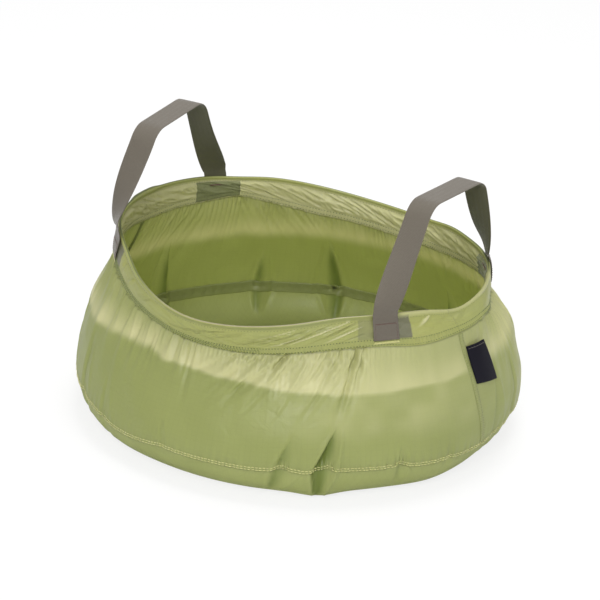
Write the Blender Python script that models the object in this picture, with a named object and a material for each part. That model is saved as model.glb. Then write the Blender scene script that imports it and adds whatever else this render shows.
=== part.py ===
"""Collapsible camp washbasin of thin coated cloth, at its real size, in metres.

A round bowl of soft cloth hangs from a spring wire hoop, which runs in a folded collar.
Two webbing handles are sewn to the collar, each by both ends, through reinforcement patches.
The bowl stands filled and bulging, with the handles held up, and folds flat when the hoop is
pushed down. The frame's origin is the middle of the floor, +Z is up, and the handles are at
+X and -X.

Every sheet of cloth is a grid of points on one shared surface, moved out or in by the
thickness of its neighbours and a gap, and then given its own thickness by a Solidify modifier.
"""

import math

import bpy
import numpy as np
from mathutils import Matrix, Vector

# Driving dimensions, in metres
RIM_RADIUS = 0.150  # hoop, to the middle of its wire
RIM_HEIGHT = 0.138  # mean height of the middle of the wire
RIM_WAVE = 0.0086  # how far the pulled hoop waves up and down from its mean height
COLLAR_DROP = 0.0218  # collar, from the middle of the wire to its lower edge
FLOOR_SEAM_RADIUS = 0.179
FLOOR_SEAM_HEIGHT = 0.028
BASE_RADIUS = 0.157  # flat round that the full bowl stands on
WALL_BELLY = 0.0042  # how far the wall swells past a straight cone
FOLD_DEPTH = 0.0070  # deepest fold in the wall
RIPPLE_DEPTH = 0.0009  # soft waves between the folds
CLOTH = 0.0008
GAP = 0.0003  # clearance between neighbouring pieces

# Seams
SEAM_LAP = 0.005  # overlap of wall, floor and tape, each way from the seam line
WALL_TUCK = 0.007  # how far the wall reaches up between the collar's two layers
COLLAR_EDGE_LIFT = 0.0005  # collar's lower edge above the line where the wall bends
SIDE_SEAM_HALF_WIDTH = 0.003
SIDE_SEAM_MARGIN = 0.004  # side seam's ends, short of the collar and of the floor seam

# Hoop
WIRE_RADIUS = 0.001
WIRE_END_GAP = 0.0006
FERRULE_WALL = 0.0005
FERRULE_LENGTH = 0.020
BEAD_TAPER = 0.005  # from the wire down to where the collar's layers lie close

# Handles
WEB_WIDTH = 0.022
WEB_THICKNESS = 0.001
PATCH_WIDTH = 0.038
PATCH_MARGIN = 0.0015  # patch's lower edge above the collar's edge
TAB_RISE = 0.006  # from the top of the rim to the line where a handle folds
HINGE_GAP = 0.0009  # sewn end's top below that line, so that the handle can turn
HANDLE_HEIGHT = 0.072  # from the folding line to the grip
GRIP_LENGTH = 0.090
GRIP_CORNER = 0.020

# Label
LABEL_WIDTH = 0.021
LABEL_HEIGHT = 0.028
LABEL_LIFT = 0.005  # how far its free edge stands off the wall
LABEL_DROP = 0.012  # top edge below the collar's edge

# Angles, in degrees
STATION_STEP = 4.0
RIGHT_SEAM_AZIMUTH = -4.0  # where it meets the floor seam
LEFT_SEAM_AZIMUTH = 184.0
RIGHT_HANDLE_AZIMUTH = 0.0
LEFT_HANDLE_AZIMUTH = 185.0
ANCHOR_SPREAD = 36.0  # from the middle of a handle to each sewn end
SEAM_SLANT = -8.0  # how far the right side seam leans round, from floor to collar
SEAM_SLANT_REACH = 30.0
MEAN_LEAN = 6.0  # collar's lean outwards, going down
FERRULE_FADE_START = 4.4
FERRULE_FADE_END = 12.0
BEAD_ARC_STEP = 45.0

# Waves of the hoop: times round, share of the wave, azimuth of a crest
WAVE_SHARES = (
    (1, 0.77, -151.0),
    (2, 1.00, -7.7),
    (3, 0.37, -38.8),
    (4, 0.28, 43.9),
)

# Waves of the collar's lean: times round, degrees, azimuth of the widest lean
LEAN_WAVES = (
    (1, 16.1, -6.3),
    (2, 18.4, 3.3),
    (3, 6.9, -5.1),
)

# Folds that cross the floor seam: azimuth there, degrees gained up the wall, width in degrees,
# share of the fold depth, rows where each starts and ends
FOLD_SHARES = (
    (-152.0, 5.0, 4.5, 0.35, -0.55, 0.80),
    (-123.0, -4.0, 5.0, 0.50, -0.60, 0.75),
    (-99.5, -5.0, 4.0, 0.62, -0.85, 0.60),
    (-63.0, -2.0, 4.0, 0.40, -0.75, 0.45),
    (-52.0, 8.0, 4.5, 1.00, -0.98, 0.95),
    (-32.5, 3.0, 4.0, 0.38, -0.60, 0.50),
    (20.0, -5.0, 5.0, 0.45, -0.70, 0.70),
    (48.0, 6.0, 4.5, 0.60, -0.80, 0.65),
    (72.0, -3.0, 4.5, 0.35, -0.60, 0.50),
    (108.0, 5.0, 5.0, 0.55, -0.80, 0.75),
    (131.0, -4.0, 4.0, 0.38, -0.55, 0.55),
    (160.0, 4.0, 5.0, 0.45, -0.70, 0.70),
)
RIPPLE_COUNT = 23
RIPPLE_LEAN = 3.0  # radians that the ripples shift from the floor seam to the collar
RIPPLE_FADE_SHARE = 0.35  # rows over which the ripples grow from either edge of the wall
FOLD_GROW_SHARE = 0.45  # rows over which a fold grows from its lower end
FOLD_FADE_SHARE = 0.60  # rows over which it fades towards its upper end
FOLD_SHOULDER_SHARE = 0.40  # bulge beside a fold, as a share of its depth
SHOULDER_PLACE_SHARE = 1.7  # from a fold's middle to that bulge, in fold widths
BELLY_SHAPE_SHARE = 6.75  # brings the peak of up * (1 - up) ** 2 to one
LABEL_CURL_SHARE = 1.5  # power that bends the label away from the wall

# Rows run up the bowl: -1 edge of the flat base, 0 floor seam, 1 collar's edge, 2 hoop
BASE_ROW = -1.0
HOOP_ROW = 2.0
FLOOR_CURVE_ROWS = (-1.0, -0.76, -0.52, -0.30)
WALL_ROWS = (0.17, 0.31, 0.46, 0.61, 0.75, 0.88, 1.0)
ROW_STEP = 0.002
TURN_STEP = 0.002
RISE_SHARES = (0.35, 0.60, 0.82)  # rows of a sewn end above the rim, the first still unturned
BAR_STATIONS = 7
GRIP_STATIONS = 4
CORNER_STATIONS = 6

# Colours: red, green, blue, roughness, metallic
GREEN_CLOTH = (0.37, 0.46, 0.13, 0.45, 0.0)
FLOOR_CLOTH = (0.33, 0.43, 0.13, 0.50, 0.0)
SEAM_CLOTH = (0.29, 0.37, 0.10, 0.55, 0.0)
PATCH_CLOTH = (0.09, 0.11, 0.05, 0.60, 0.0)
WEBBING = (0.16, 0.14, 0.11, 0.75, 0.0)
LABEL_CLOTH = (0.02, 0.02, 0.025, 0.60, 0.0)
WIRE_STEEL = (0.55, 0.55, 0.56, 0.30, 1.0)
CRIMP_METAL = (0.60, 0.60, 0.62, 0.35, 1.0)


def smoothstep(share):
    """Rise from 0 to 1 with level ends, for a share that is cut to 0 to 1."""
    share = np.clip(share, 0.0, 1.0)
    return share * share * (3.0 - 2.0 * share)


def turn_between(azimuth, other):
    """Signed angle from other to azimuth, the short way round, in degrees."""
    return (azimuth - other + 180.0) % 360.0 - 180.0


def waves(azimuth, table):
    """Sum of the table's cosines: times round, size, azimuth of a crest."""
    total = 0.0
    for times, size, crest in table:
        total = total + size * np.cos(np.radians(times * (azimuth - crest)))
    return total


def hoop_height(azimuth):
    """Height of the middle of the wire."""
    return RIM_HEIGHT + RIM_WAVE * waves(azimuth, WAVE_SHARES)


def collar_edge(azimuth):
    """Radius and height of the collar's lower edge, a fixed drop from the wire."""
    lean = np.radians(MEAN_LEAN + waves(azimuth, LEAN_WAVES))
    radius = RIM_RADIUS + COLLAR_DROP * np.sin(lean)
    height = hoop_height(azimuth) - COLLAR_DROP * np.cos(lean)
    return radius, height


def fold_inset(azimuth, row):
    """How far folds and ripples draw the cloth in at a place of the bowl."""
    middle = smoothstep(row / RIPPLE_FADE_SHARE) * smoothstep((1.0 - row) / RIPPLE_FADE_SHARE)
    phase = np.radians(RIPPLE_COUNT * azimuth) + RIPPLE_LEAN * row
    inset = RIPPLE_DEPTH * middle * np.sin(phase)
    for start, gain, width, share, low, high in FOLD_SHARES:
        across = turn_between(azimuth, start + gain * row) / width
        grown = smoothstep((row - low) / FOLD_GROW_SHARE)
        faded = smoothstep((high - row) / FOLD_FADE_SHARE)
        valley = np.exp(-across * across)
        shoulder = np.exp(-((abs(across) - SHOULDER_PLACE_SHARE) ** 2))
        shape = valley - FOLD_SHOULDER_SHARE * shoulder
        inset = inset + FOLD_DEPTH * share * grown * faded * shape
    return inset


def bowl_point(azimuth, row):
    """Point of the shared surface, the middle of the wall's cloth, for arrays of places."""
    azimuth, row = np.broadcast_arrays(np.asarray(azimuth, float), np.asarray(row, float))
    edge_radius, edge_height = collar_edge(azimuth)
    bottom = -(GAP + CLOTH / 2.0)

    quarter = (1.0 + np.clip(row, BASE_ROW, 0.0)) * math.pi / 2.0
    floor_radius = BASE_RADIUS + (FLOOR_SEAM_RADIUS - BASE_RADIUS) * np.sin(quarter)
    floor_height = bottom + (FLOOR_SEAM_HEIGHT - bottom) * (1.0 - np.cos(quarter))

    up = np.clip(row, 0.0, 1.0)
    belly = WALL_BELLY * BELLY_SHAPE_SHARE * up * (1.0 - up) ** 2
    wall_radius = FLOOR_SEAM_RADIUS + (edge_radius - FLOOR_SEAM_RADIUS) * up + belly
    wall_height = FLOOR_SEAM_HEIGHT + (edge_height - FLOOR_SEAM_HEIGHT) * up

    over = np.maximum(row - 1.0, 0.0)
    collar_radius = edge_radius + (RIM_RADIUS - edge_radius) * over
    collar_height = edge_height + (hoop_height(azimuth) - edge_height) * over

    radius = np.where(row < 0.0, floor_radius, np.where(row < 1.0, wall_radius, collar_radius))
    height = np.where(row < 0.0, floor_height, np.where(row < 1.0, wall_height, collar_height))
    radius = radius - fold_inset(azimuth, row)
    angle = np.radians(azimuth)
    return np.stack([radius * np.cos(angle), radius * np.sin(angle), height], -1)


def unit(vectors):
    """Each vector at length 1."""
    return vectors / np.linalg.norm(vectors, axis=-1, keepdims=True)


def bowl_frame(azimuth, row):
    """Point, outward normal and upward direction, square to each other, on the surface."""
    azimuth = np.asarray(azimuth, float)
    row = np.asarray(row, float)
    along = bowl_point(azimuth + TURN_STEP, row) - bowl_point(azimuth - TURN_STEP, row)
    rise = bowl_point(azimuth, row + ROW_STEP) - bowl_point(azimuth, row - ROW_STEP)
    normal = unit(np.cross(along, rise))
    upward = unit(np.cross(normal, along))
    return bowl_point(azimuth, row), normal, upward


def bowl_place(azimuth, row, out):
    """Point that lies a distance out from the shared surface, square to it."""
    point, normal, upward = bowl_frame(azimuth, row)
    return point + normal * np.asarray(out, float)[..., None]


def degrees_of(length, radius=RIM_RADIUS):
    """Azimuth that a length takes up round a circle."""
    return math.degrees(length / radius)


def slanted(azimuth, row):
    """Azimuth of a wall station at a row, drawn round beside the right side seam."""
    near = np.exp(-((turn_between(azimuth, RIGHT_SEAM_AZIMUTH) / SEAM_SLANT_REACH) ** 2))
    return azimuth + SEAM_SLANT * near * np.clip(row, 0.0, 1.0)


def stations(start, end):
    """Azimuths from start to end on the shared steps, drawn back by half a gap at each end."""
    count = round((end - start) / STATION_STEP)
    azimuths = start + STATION_STEP * np.arange(count + 1)
    shrink = degrees_of(GAP / 2.0, RIM_RADIUS - COLLAR_DROP)
    azimuths[0] += shrink
    azimuths[-1] -= shrink
    return azimuths


def wall_height():
    """Mean length of the wall from the floor seam to the collar's edge."""
    return RIM_HEIGHT - COLLAR_DROP - FLOOR_SEAM_HEIGHT


def wall_row(length):
    """Row that lies a length above the floor seam."""
    return length / wall_height()


def floor_row(length):
    """Row that lies a length below the floor seam, along the curve."""
    return -length / (FLOOR_SEAM_HEIGHT * math.pi / 2.0)


def seam_rows():
    """Rows that wall, floor and tape share where they overlap at the floor seam."""
    return [floor_row(SEAM_LAP), 0.0, wall_row(SEAM_LAP)]


def collar_row(length):
    """Row that lies a length above the collar's edge."""
    return 1.0 + length / COLLAR_DROP


def material(name, colour):
    """Principled material of one plain colour."""
    finish = bpy.data.materials.new(name)
    finish.use_nodes = True
    shader = finish.node_tree.nodes["Principled BSDF"]
    red, green, blue, roughness, metallic = colour
    shader.inputs["Base Color"].default_value = (red, green, blue, 1.0)
    shader.inputs["Roughness"].default_value = roughness
    shader.inputs["Metallic"].default_value = metallic
    return finish


def link(mesh, name, finish):
    """Object of a mesh, in the scene, with its material."""
    mesh.materials.append(finish)
    item = bpy.data.objects.new(name, mesh)
    bpy.context.scene.collection.objects.link(item)
    return item


def sheet(name, grid, thickness, finish, ring=False, floor_disc=False):
    """Sheet of cloth from a grid of middle points: columns along the piece, rows across it."""
    columns, rows = grid.shape[:2]
    faces = []
    steps = columns if ring else columns - 1
    for column in range(steps):
        following = (column + 1) % columns
        for row in range(rows - 1):
            near = column * rows + row
            far = following * rows + row
            faces.append((near, far, far + 1, near + 1))
    if floor_disc:
        faces.append(tuple(column * rows for column in reversed(range(columns))))
    mesh = bpy.data.meshes.new(name)
    mesh.from_pydata(grid.reshape(-1, 3).tolist(), [], faces)
    mesh.shade_smooth()
    item = link(mesh, name, finish)
    solidify = item.modifiers.new("Thickness", "SOLIDIFY")
    solidify.thickness = thickness
    solidify.offset = 0.0
    solidify.use_even_offset = True
    return item


def surface_grid(azimuths, rows, outs):
    """Grid of points on the bowl: one column for each azimuth, one point for each row."""
    azimuth, row = np.meshgrid(azimuths, rows, indexing="ij")
    out = np.broadcast_to(np.asarray(outs, float), azimuth.shape)
    return bowl_place(azimuth, row, out)


def wall_panel(name, start, end, finish):
    """Wall cloth between two side seams, lapped over the floor's edge and tucked in the collar."""
    rows = [*seam_rows(), *WALL_ROWS, collar_row(WALL_TUCK)]
    azimuth, row = np.meshgrid(stations(start, end), rows, indexing="ij")
    grid = bowl_point(slanted(azimuth, row), row)
    return sheet(name, grid, CLOTH, finish)


def floor_panel(finish):
    """Round floor with its edge turned up inside the wall's lower edge."""
    azimuths = np.arange(0.0, 360.0, STATION_STEP)
    rows = [*FLOOR_CURVE_ROWS, *seam_rows()]
    grid = surface_grid(azimuths, rows, -(CLOTH + GAP))
    return sheet("floor_panel", grid, CLOTH, finish, ring=True, floor_disc=True)


def floor_seam_tape(finish):
    """Tape over the inside of the floor seam."""
    azimuths = np.arange(0.0, 360.0, STATION_STEP)
    grid = surface_grid(azimuths, seam_rows(), -2.0 * (CLOTH + GAP))
    return sheet("floor_seam_tape", grid, CLOTH, finish, ring=True)


def side_seam(name, seam_azimuth, finish):
    """Folded seam allowance, a narrow strip over the joint of the two wall panels."""
    half = degrees_of(SIDE_SEAM_HALF_WIDTH)
    azimuths = seam_azimuth + np.array([-half, 0.0, half])
    low = wall_row(SIDE_SEAM_MARGIN)
    rows = [low, *WALL_ROWS[:-1], 1.0 - low]
    azimuth, row = np.meshgrid(azimuths, rows, indexing="ij")
    out = np.full(azimuth.shape, CLOTH + GAP)
    return sheet(name, bowl_place(slanted(azimuth, row), row, out), CLOTH, finish)


def side_label(finish):
    """Small woven label, sewn in by one edge beside the right side seam."""
    top = 1.0 - wall_row(LABEL_DROP)
    rows = np.linspace(top - wall_row(LABEL_HEIGHT), top, 5)
    start = RIGHT_SEAM_AZIMUTH + degrees_of(SIDE_SEAM_HALF_WIDTH + GAP)
    share = np.linspace(0.0, 1.0, 5)
    azimuths = start + degrees_of(LABEL_WIDTH) * share
    azimuth, row = np.meshgrid(azimuths, rows, indexing="ij")
    lift = CLOTH + GAP + LABEL_LIFT * share**LABEL_CURL_SHARE
    out = np.broadcast_to(lift[:, None], azimuth.shape)
    return sheet("side_label", bowl_place(slanted(azimuth, row), row, out), CLOTH, finish)


def ferrule_radius():
    """Outer radius of the crimped tube."""
    return WIRE_RADIUS + GAP + FERRULE_WALL


def collar_body_out():
    """From the middle of the tucked wall to the middle of each collar layer."""
    return CLOTH + GAP


def bead_out(azimuth):
    """From the middle of the wire to the middle of the cloth round it, wider at the ferrule."""
    past = abs(turn_between(azimuth, LEFT_SEAM_AZIMUTH)) - FERRULE_FADE_START
    wide = 1.0 - smoothstep(past / (FERRULE_FADE_END - FERRULE_FADE_START))
    core = WIRE_RADIUS + (ferrule_radius() - WIRE_RADIUS) * wide
    return core + GAP + CLOTH / 2.0


def collar(name, start, end, finish):
    """Collar cloth, folded over the hoop and open along its lower edge."""
    azimuths = stations(start, end)
    edge_row = collar_row(COLLAR_EDGE_LIFT)
    close_row = HOOP_ROW - BEAD_TAPER / COLLAR_DROP
    legs = [edge_row, (edge_row + close_row) / 2.0, close_row]
    outer = surface_grid(azimuths, legs, collar_body_out())
    inner = surface_grid(azimuths, legs[::-1], -collar_body_out())
    hoop, normal, upward = bowl_frame(azimuths, np.full(azimuths.shape, HOOP_ROW))
    radius = bead_out(azimuths)[:, None]
    bead = []
    for angle in np.radians(np.arange(0.0, 180.0 + BEAD_ARC_STEP / 2.0, BEAD_ARC_STEP)):
        bead.append(hoop + radius * (normal * math.cos(angle) + upward * math.sin(angle)))
    grid = np.concatenate([outer, np.stack(bead, 1), inner], 1)
    return sheet(name, grid, CLOTH, finish)


def rim_hoop(finish):
    """Spring wire that holds the mouth open, its two ends meeting in the ferrule."""
    shrink = degrees_of(WIRE_END_GAP / 2.0)
    azimuths = LEFT_SEAM_AZIMUTH + STATION_STEP * np.arange(round(360.0 / STATION_STEP) + 1)
    azimuths[0] += shrink
    azimuths[-1] -= shrink
    points = bowl_point(azimuths, HOOP_ROW)
    curve = bpy.data.curves.new("rim_hoop", "CURVE")
    curve.dimensions = "3D"
    curve.bevel_depth = WIRE_RADIUS
    curve.bevel_resolution = 1
    curve.use_fill_caps = True
    spline = curve.splines.new("POLY")
    spline.points.add(len(points) - 1)
    for knot, place in zip(spline.points, points):
        knot.co = (*place, 1.0)
    return link(curve, "rim_hoop", finish)


def hoop_ferrule(finish):
    """Crimped tube over the two ends of the wire."""
    radius = WIRE_RADIUS + GAP + FERRULE_WALL / 2.0
    half = degrees_of(FERRULE_LENGTH / 2.0)
    azimuths = LEFT_SEAM_AZIMUTH + half * np.linspace(-1.0, 1.0, 5)
    hoop, normal, upward = bowl_frame(azimuths, np.full(azimuths.shape, HOOP_ROW))
    columns = []
    for angle in np.radians(np.arange(0.0, 360.0, BEAD_ARC_STEP)):
        columns.append(hoop + radius * (normal * math.cos(angle) + upward * math.sin(angle)))
    return sheet("hoop_ferrule", np.stack(columns), FERRULE_WALL, finish, ring=True)


def patch(name, anchor, finish):
    """Reinforcement patch on the collar's inner face, behind a sewn handle end."""
    half = degrees_of(PATCH_WIDTH / 2.0)
    azimuths = anchor + half * np.linspace(-1.0, 1.0, 6)
    low = collar_row(PATCH_MARGIN)
    high = HOOP_ROW - BEAD_TAPER / COLLAR_DROP
    rows = [low, (low + high) / 2.0, high]
    grid = surface_grid(azimuths, rows, -(collar_body_out() + CLOTH + GAP))
    return sheet(name, grid, CLOTH, finish)


def web_out(core):
    """From the hoop's surface to the middle of webbing that lies on the collar's cloth."""
    return core + CLOTH / 2.0 + GAP + WEB_THICKNESS / 2.0


def fold_point(anchor):
    """Middle of the line where a handle folds, above a sewn end."""
    place = bowl_place(anchor, HOOP_ROW, web_out(bead_out(anchor)))
    return place + np.array([0.0, 0.0, bead_out(anchor) + CLOTH / 2.0 + TAB_RISE])


def handle_frame(azimuth):
    """Middle of a handle's folding line, its direction, up and outwards, and its length."""
    near = fold_point(azimuth - ANCHOR_SPREAD)
    far = fold_point(azimuth + ANCHOR_SPREAD)
    axis = unit(far - near)
    up = np.array([0.0, 0.0, 1.0])
    up = unit(up - axis * axis.dot(up))
    return (near + far) / 2.0, axis, up, np.cross(axis, up), np.linalg.norm(far - near)


def sewn_end(name, anchor, handle_azimuth, finish):
    """Sewn end of a handle: flat on the collar, then rising and turning to the folding line."""
    _, axis, up, _, _ = handle_frame(handle_azimuth)
    share = np.linspace(-1.0, 1.0, 5)
    azimuths = anchor + degrees_of(WEB_WIDTH / 2.0) * share
    low = collar_row(COLLAR_EDGE_LIFT)
    close = HOOP_ROW - BEAD_TAPER / COLLAR_DROP
    body = web_out(collar_body_out())
    flat = surface_grid(azimuths, [low, (low + close) / 2.0, close], body)
    bead = bowl_place(azimuths, np.full(5, HOOP_ROW), web_out(bead_out(azimuths)))
    top = fold_point(anchor) - up * HINGE_GAP + axis * (share * WEB_WIDTH / 2.0)[:, None]
    rising = []
    for step in RISE_SHARES:
        past = (step - RISE_SHARES[0]) / (1.0 - RISE_SHARES[0])
        turned = bead + (top - bead) * smoothstep(past)
        turned[:, 2] = bead[:, 2] + (top[:, 2] - bead[:, 2]) * step
        rising.append(turned)
    grid = np.concatenate([flat, np.stack([bead, *rising, top], 1)], 1)
    return sheet(name, grid, WEB_THICKNESS, finish)


def handle_route(length):
    """Half of a handle's middle line, from its folding line to the middle of the grip.

    Each place is its distance from the handle's middle and its height. The leg runs straight
    to a round corner that meets the leg and the grip."""
    foot = length / 2.0
    grip = GRIP_LENGTH / 2.0
    lean = math.atan2(foot - grip, HANDLE_HEIGHT)
    turn = math.pi / 2.0 - lean
    cut = GRIP_CORNER * math.tan(turn / 2.0)
    leg = math.hypot(foot - grip, HANDLE_HEIGHT) - cut
    steps = np.linspace(0.0, leg, BAR_STATIONS)
    route = [(foot - step * math.sin(lean), step * math.cos(lean)) for step in steps]
    centre = (grip - cut, HANDLE_HEIGHT - GRIP_CORNER)
    for angle in np.linspace(0.0, turn, CORNER_STATIONS)[1:]:
        around = math.cos(lean + angle)
        above = math.sin(lean + angle)
        route.append((centre[0] + GRIP_CORNER * around, centre[1] + GRIP_CORNER * above))
    for across in np.linspace(grip - cut, 0.0, GRIP_STATIONS)[1:]:
        route.append((across, HANDLE_HEIGHT))
    return np.array(route), lean


def handle_strap(name, azimuth, finish):
    """Webbing loop from one folding line to the other, a quarter turn twisted in each leg."""
    middle, axis, up, outward, length = handle_frame(azimuth)
    route, lean = handle_route(length)
    turned = smoothstep(np.arange(len(route)) / (BAR_STATIONS - 1.0)) * math.pi / 2.0
    share = np.array([-0.5, 0.0, 0.5]) * WEB_WIDTH
    legs = []
    for side in (-1.0, 1.0):
        centre = middle + np.outer(side * route[:, 0], axis) + np.outer(route[:, 1], up)
        flat = np.outer(-side * np.cos(turned) / math.cos(lean), axis)
        wide = flat + np.outer(np.sin(turned), outward)
        legs.append(centre + share[:, None, None] * wide)
    grid = np.concatenate([legs[0], legs[1][:, -2::-1]], 1)
    return sheet(name, grid, WEB_THICKNESS, finish)


def joint_empty(name, place, axes, parent=None):
    """Empty on a joint: its place and its three directions, under its parent."""
    rotation = Matrix([Vector(axis) for axis in axes]).transposed().to_4x4()
    empty = bpy.data.objects.new(name, None)
    bpy.context.scene.collection.objects.link(empty)
    world = Matrix.Translation(Vector(place)) @ rotation
    empty.parent = parent
    above = parent.matrix_world.copy() if parent else Matrix.Identity(4)
    empty.matrix_basis = above.inverted() @ world
    bpy.context.view_layer.update()
    return empty


def hang(item, empty):
    """Put a piece under a joint's empty, with its origin there, and leave it where it is."""
    item.data.transform(empty.matrix_world.inverted())
    item.parent = empty


def build():
    """Make every piece and put the moving ones on their joints."""
    for item in list(bpy.data.objects):
        bpy.data.objects.remove(item, do_unlink=True)

    green = material("green_cloth", GREEN_CLOTH)
    floor_green = material("floor_cloth", FLOOR_CLOTH)
    seam_green = material("seam_cloth", SEAM_CLOTH)
    patch_green = material("patch_cloth", PATCH_CLOTH)
    webbing = material("webbing", WEBBING)
    label_black = material("label_cloth", LABEL_CLOTH)
    steel = material("wire_steel", WIRE_STEEL)
    crimp = material("crimp_metal", CRIMP_METAL)

    front = (LEFT_SEAM_AZIMUTH - 360.0, RIGHT_SEAM_AZIMUTH)
    rear = (RIGHT_SEAM_AZIMUTH, LEFT_SEAM_AZIMUTH)
    collar_joint = RIGHT_SEAM_AZIMUTH + SEAM_SLANT
    floor_panel(floor_green)
    floor_seam_tape(seam_green)
    wall_panel("front_wall_panel", *front, green)
    wall_panel("rear_wall_panel", *rear, green)
    side_seam("right_side_seam", RIGHT_SEAM_AZIMUTH, seam_green)
    side_seam("left_side_seam", LEFT_SEAM_AZIMUTH, seam_green)
    side_label(label_black)

    rim_pieces = [
        collar("front_collar", front[0], collar_joint, green),
        collar("rear_collar", collar_joint, rear[1], green),
        rim_hoop(steel),
        hoop_ferrule(crimp),
    ]
    level = ((1.0, 0.0, 0.0), (0.0, 1.0, 0.0), (0.0, 0.0, 1.0))
    rim_joint = joint_empty("rim_collapse", (0.0, 0.0, RIM_HEIGHT), level)
    handles = (("right", RIGHT_HANDLE_AZIMUTH, -1.0), ("left", LEFT_HANDLE_AZIMUTH, 1.0))
    for side, azimuth, front_side in handles:
        middle, axis, up, outward, _ = handle_frame(azimuth)
        swing = joint_empty(f"{side}_handle_swing", middle, (outward, axis, up), rim_joint)
        hang(handle_strap(f"{side}_handle_strap", azimuth, webbing), swing)
        for end, sign in (("front", front_side), ("rear", -front_side)):
            anchor = azimuth + sign * ANCHOR_SPREAD
            rim_pieces.append(patch(f"{end}_{side}_patch", anchor, patch_green))
            rim_pieces.append(sewn_end(f"{end}_{side}_sewn_end", anchor, azimuth, webbing))
        print(side, "handle folds about", middle.round(4), "along", axis.round(4))
    for item in rim_pieces:
        hang(item, rim_joint)


build()
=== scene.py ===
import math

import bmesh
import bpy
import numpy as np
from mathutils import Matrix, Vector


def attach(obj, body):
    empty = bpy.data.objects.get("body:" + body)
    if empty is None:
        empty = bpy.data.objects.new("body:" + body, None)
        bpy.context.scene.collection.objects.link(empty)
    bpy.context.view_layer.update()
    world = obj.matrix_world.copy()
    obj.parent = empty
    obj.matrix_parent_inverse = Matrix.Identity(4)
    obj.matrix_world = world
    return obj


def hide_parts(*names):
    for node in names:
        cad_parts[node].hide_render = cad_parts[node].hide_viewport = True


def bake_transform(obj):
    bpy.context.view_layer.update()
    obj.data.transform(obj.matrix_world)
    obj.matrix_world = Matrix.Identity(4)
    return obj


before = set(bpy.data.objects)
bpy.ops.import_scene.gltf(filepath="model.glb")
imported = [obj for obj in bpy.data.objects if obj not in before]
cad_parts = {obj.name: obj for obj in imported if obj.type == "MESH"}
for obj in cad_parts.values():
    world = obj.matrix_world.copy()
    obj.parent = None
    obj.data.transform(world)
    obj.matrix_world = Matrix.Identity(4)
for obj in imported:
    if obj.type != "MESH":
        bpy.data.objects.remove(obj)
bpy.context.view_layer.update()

# %% [markdown]
# # A collapsible camp washbasin
# The real basin is a bag of thin coated cloth. A spring wire hoop runs in a folded collar round
# its mouth, and two webbing handles are sewn on through dark patches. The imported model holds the
# plain pieces at their real size. This file dresses them: each cloth piece is worked out again
# on a fine grid, with its folds, puckers and stitches, and gets a material that lets some light
# through. All lengths are metres.

# %% [markdown]
# ## The camera
# The photograph was taken with a long lens from a little above the rim, so the far side of the
# mouth looks almost as wide as the near side. The camera's direction, its slight roll and the
# lens were found by fitting the rim, the seams and the outline, so the render can be laid over
# the photograph.

# %% Camera
CAMERA_AZIMUTH = math.radians(29.5)
CAMERA_ELEVATION = math.radians(23.43)
CAMERA_ROLL = math.radians(3.94)
CAMERA_DISTANCE = 2.4
CAMERA_AIM = Vector((0.0, 0.0, 0.1))
CAMERA_LENS_MM = 178.1
FRAME_SHIFT = (-0.0038, -0.011)

back = Vector((
    math.sin(CAMERA_AZIMUTH) * math.cos(CAMERA_ELEVATION),
    -math.cos(CAMERA_AZIMUTH) * math.cos(CAMERA_ELEVATION),
    math.sin(CAMERA_ELEVATION),
))
level = Vector((math.cos(CAMERA_AZIMUTH), math.sin(CAMERA_AZIMUTH), 0.0))
raised = back.cross(level)
right = level * math.cos(CAMERA_ROLL) + raised * math.sin(CAMERA_ROLL)
upright = back.cross(right)
camera = bpy.data.objects.new("camera", bpy.data.cameras.new("camera"))
bpy.context.scene.collection.objects.link(camera)
camera.matrix_world = (
    Matrix.Translation(CAMERA_AIM + back * CAMERA_DISTANCE)
    @ Matrix((right, upright, back)).transposed().to_4x4()
)
camera.data.lens = CAMERA_LENS_MM
camera.data.shift_x, camera.data.shift_y = FRAME_SHIFT
bpy.context.scene.camera = camera
print("camera at", [round(x, 3) for x in camera.location])

# %% [markdown]
# ## The shape of the bowl
# Wall, floor, seams, collar and stitches all lie on one surface, so that surface comes first. It
# has two parameters: the azimuth round the bowl, and a row that runs from -1 at the flat base,
# through 0 at the floor seam and 1 at the collar's lower edge, to 2 at the hoop. The values below
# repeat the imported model's sizes, and the last five tables say where the real lines leave them.

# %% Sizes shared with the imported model
RIM_RADIUS = 0.150
RIM_HEIGHT = 0.138
RIM_WAVE = 0.0086
COLLAR_DROP = 0.0218
FLOOR_SEAM_RADIUS = 0.179
FLOOR_SEAM_HEIGHT = 0.028
FLOOR_EDGE_RADIUS = 0.1558
ROUND_SHARE = 0.80
WALL_BELLY = 0.0042
SEAM_LAP = 0.005
WALL_TUCK = 0.007
LEFT_SEAM = 184.0
RIGHT_SEAM = -4.0
SEAM_SLANT = -8.0
SLANT_REACH = 30.0
HANDLES = {"right": 0.0, "left": 185.0}
ANCHOR_SPREAD = 36.0
MEAN_LEAN = 6.0
WAVES = ((1, 0.77, -151.0), (2, 1.00, -7.7), (3, 0.37, -38.8), (4, 0.28, 43.9))
LEAN_WAVES = ((1, 16.1, -6.3), (2, 18.4, 3.3), (3, 6.9, -5.1))
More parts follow.
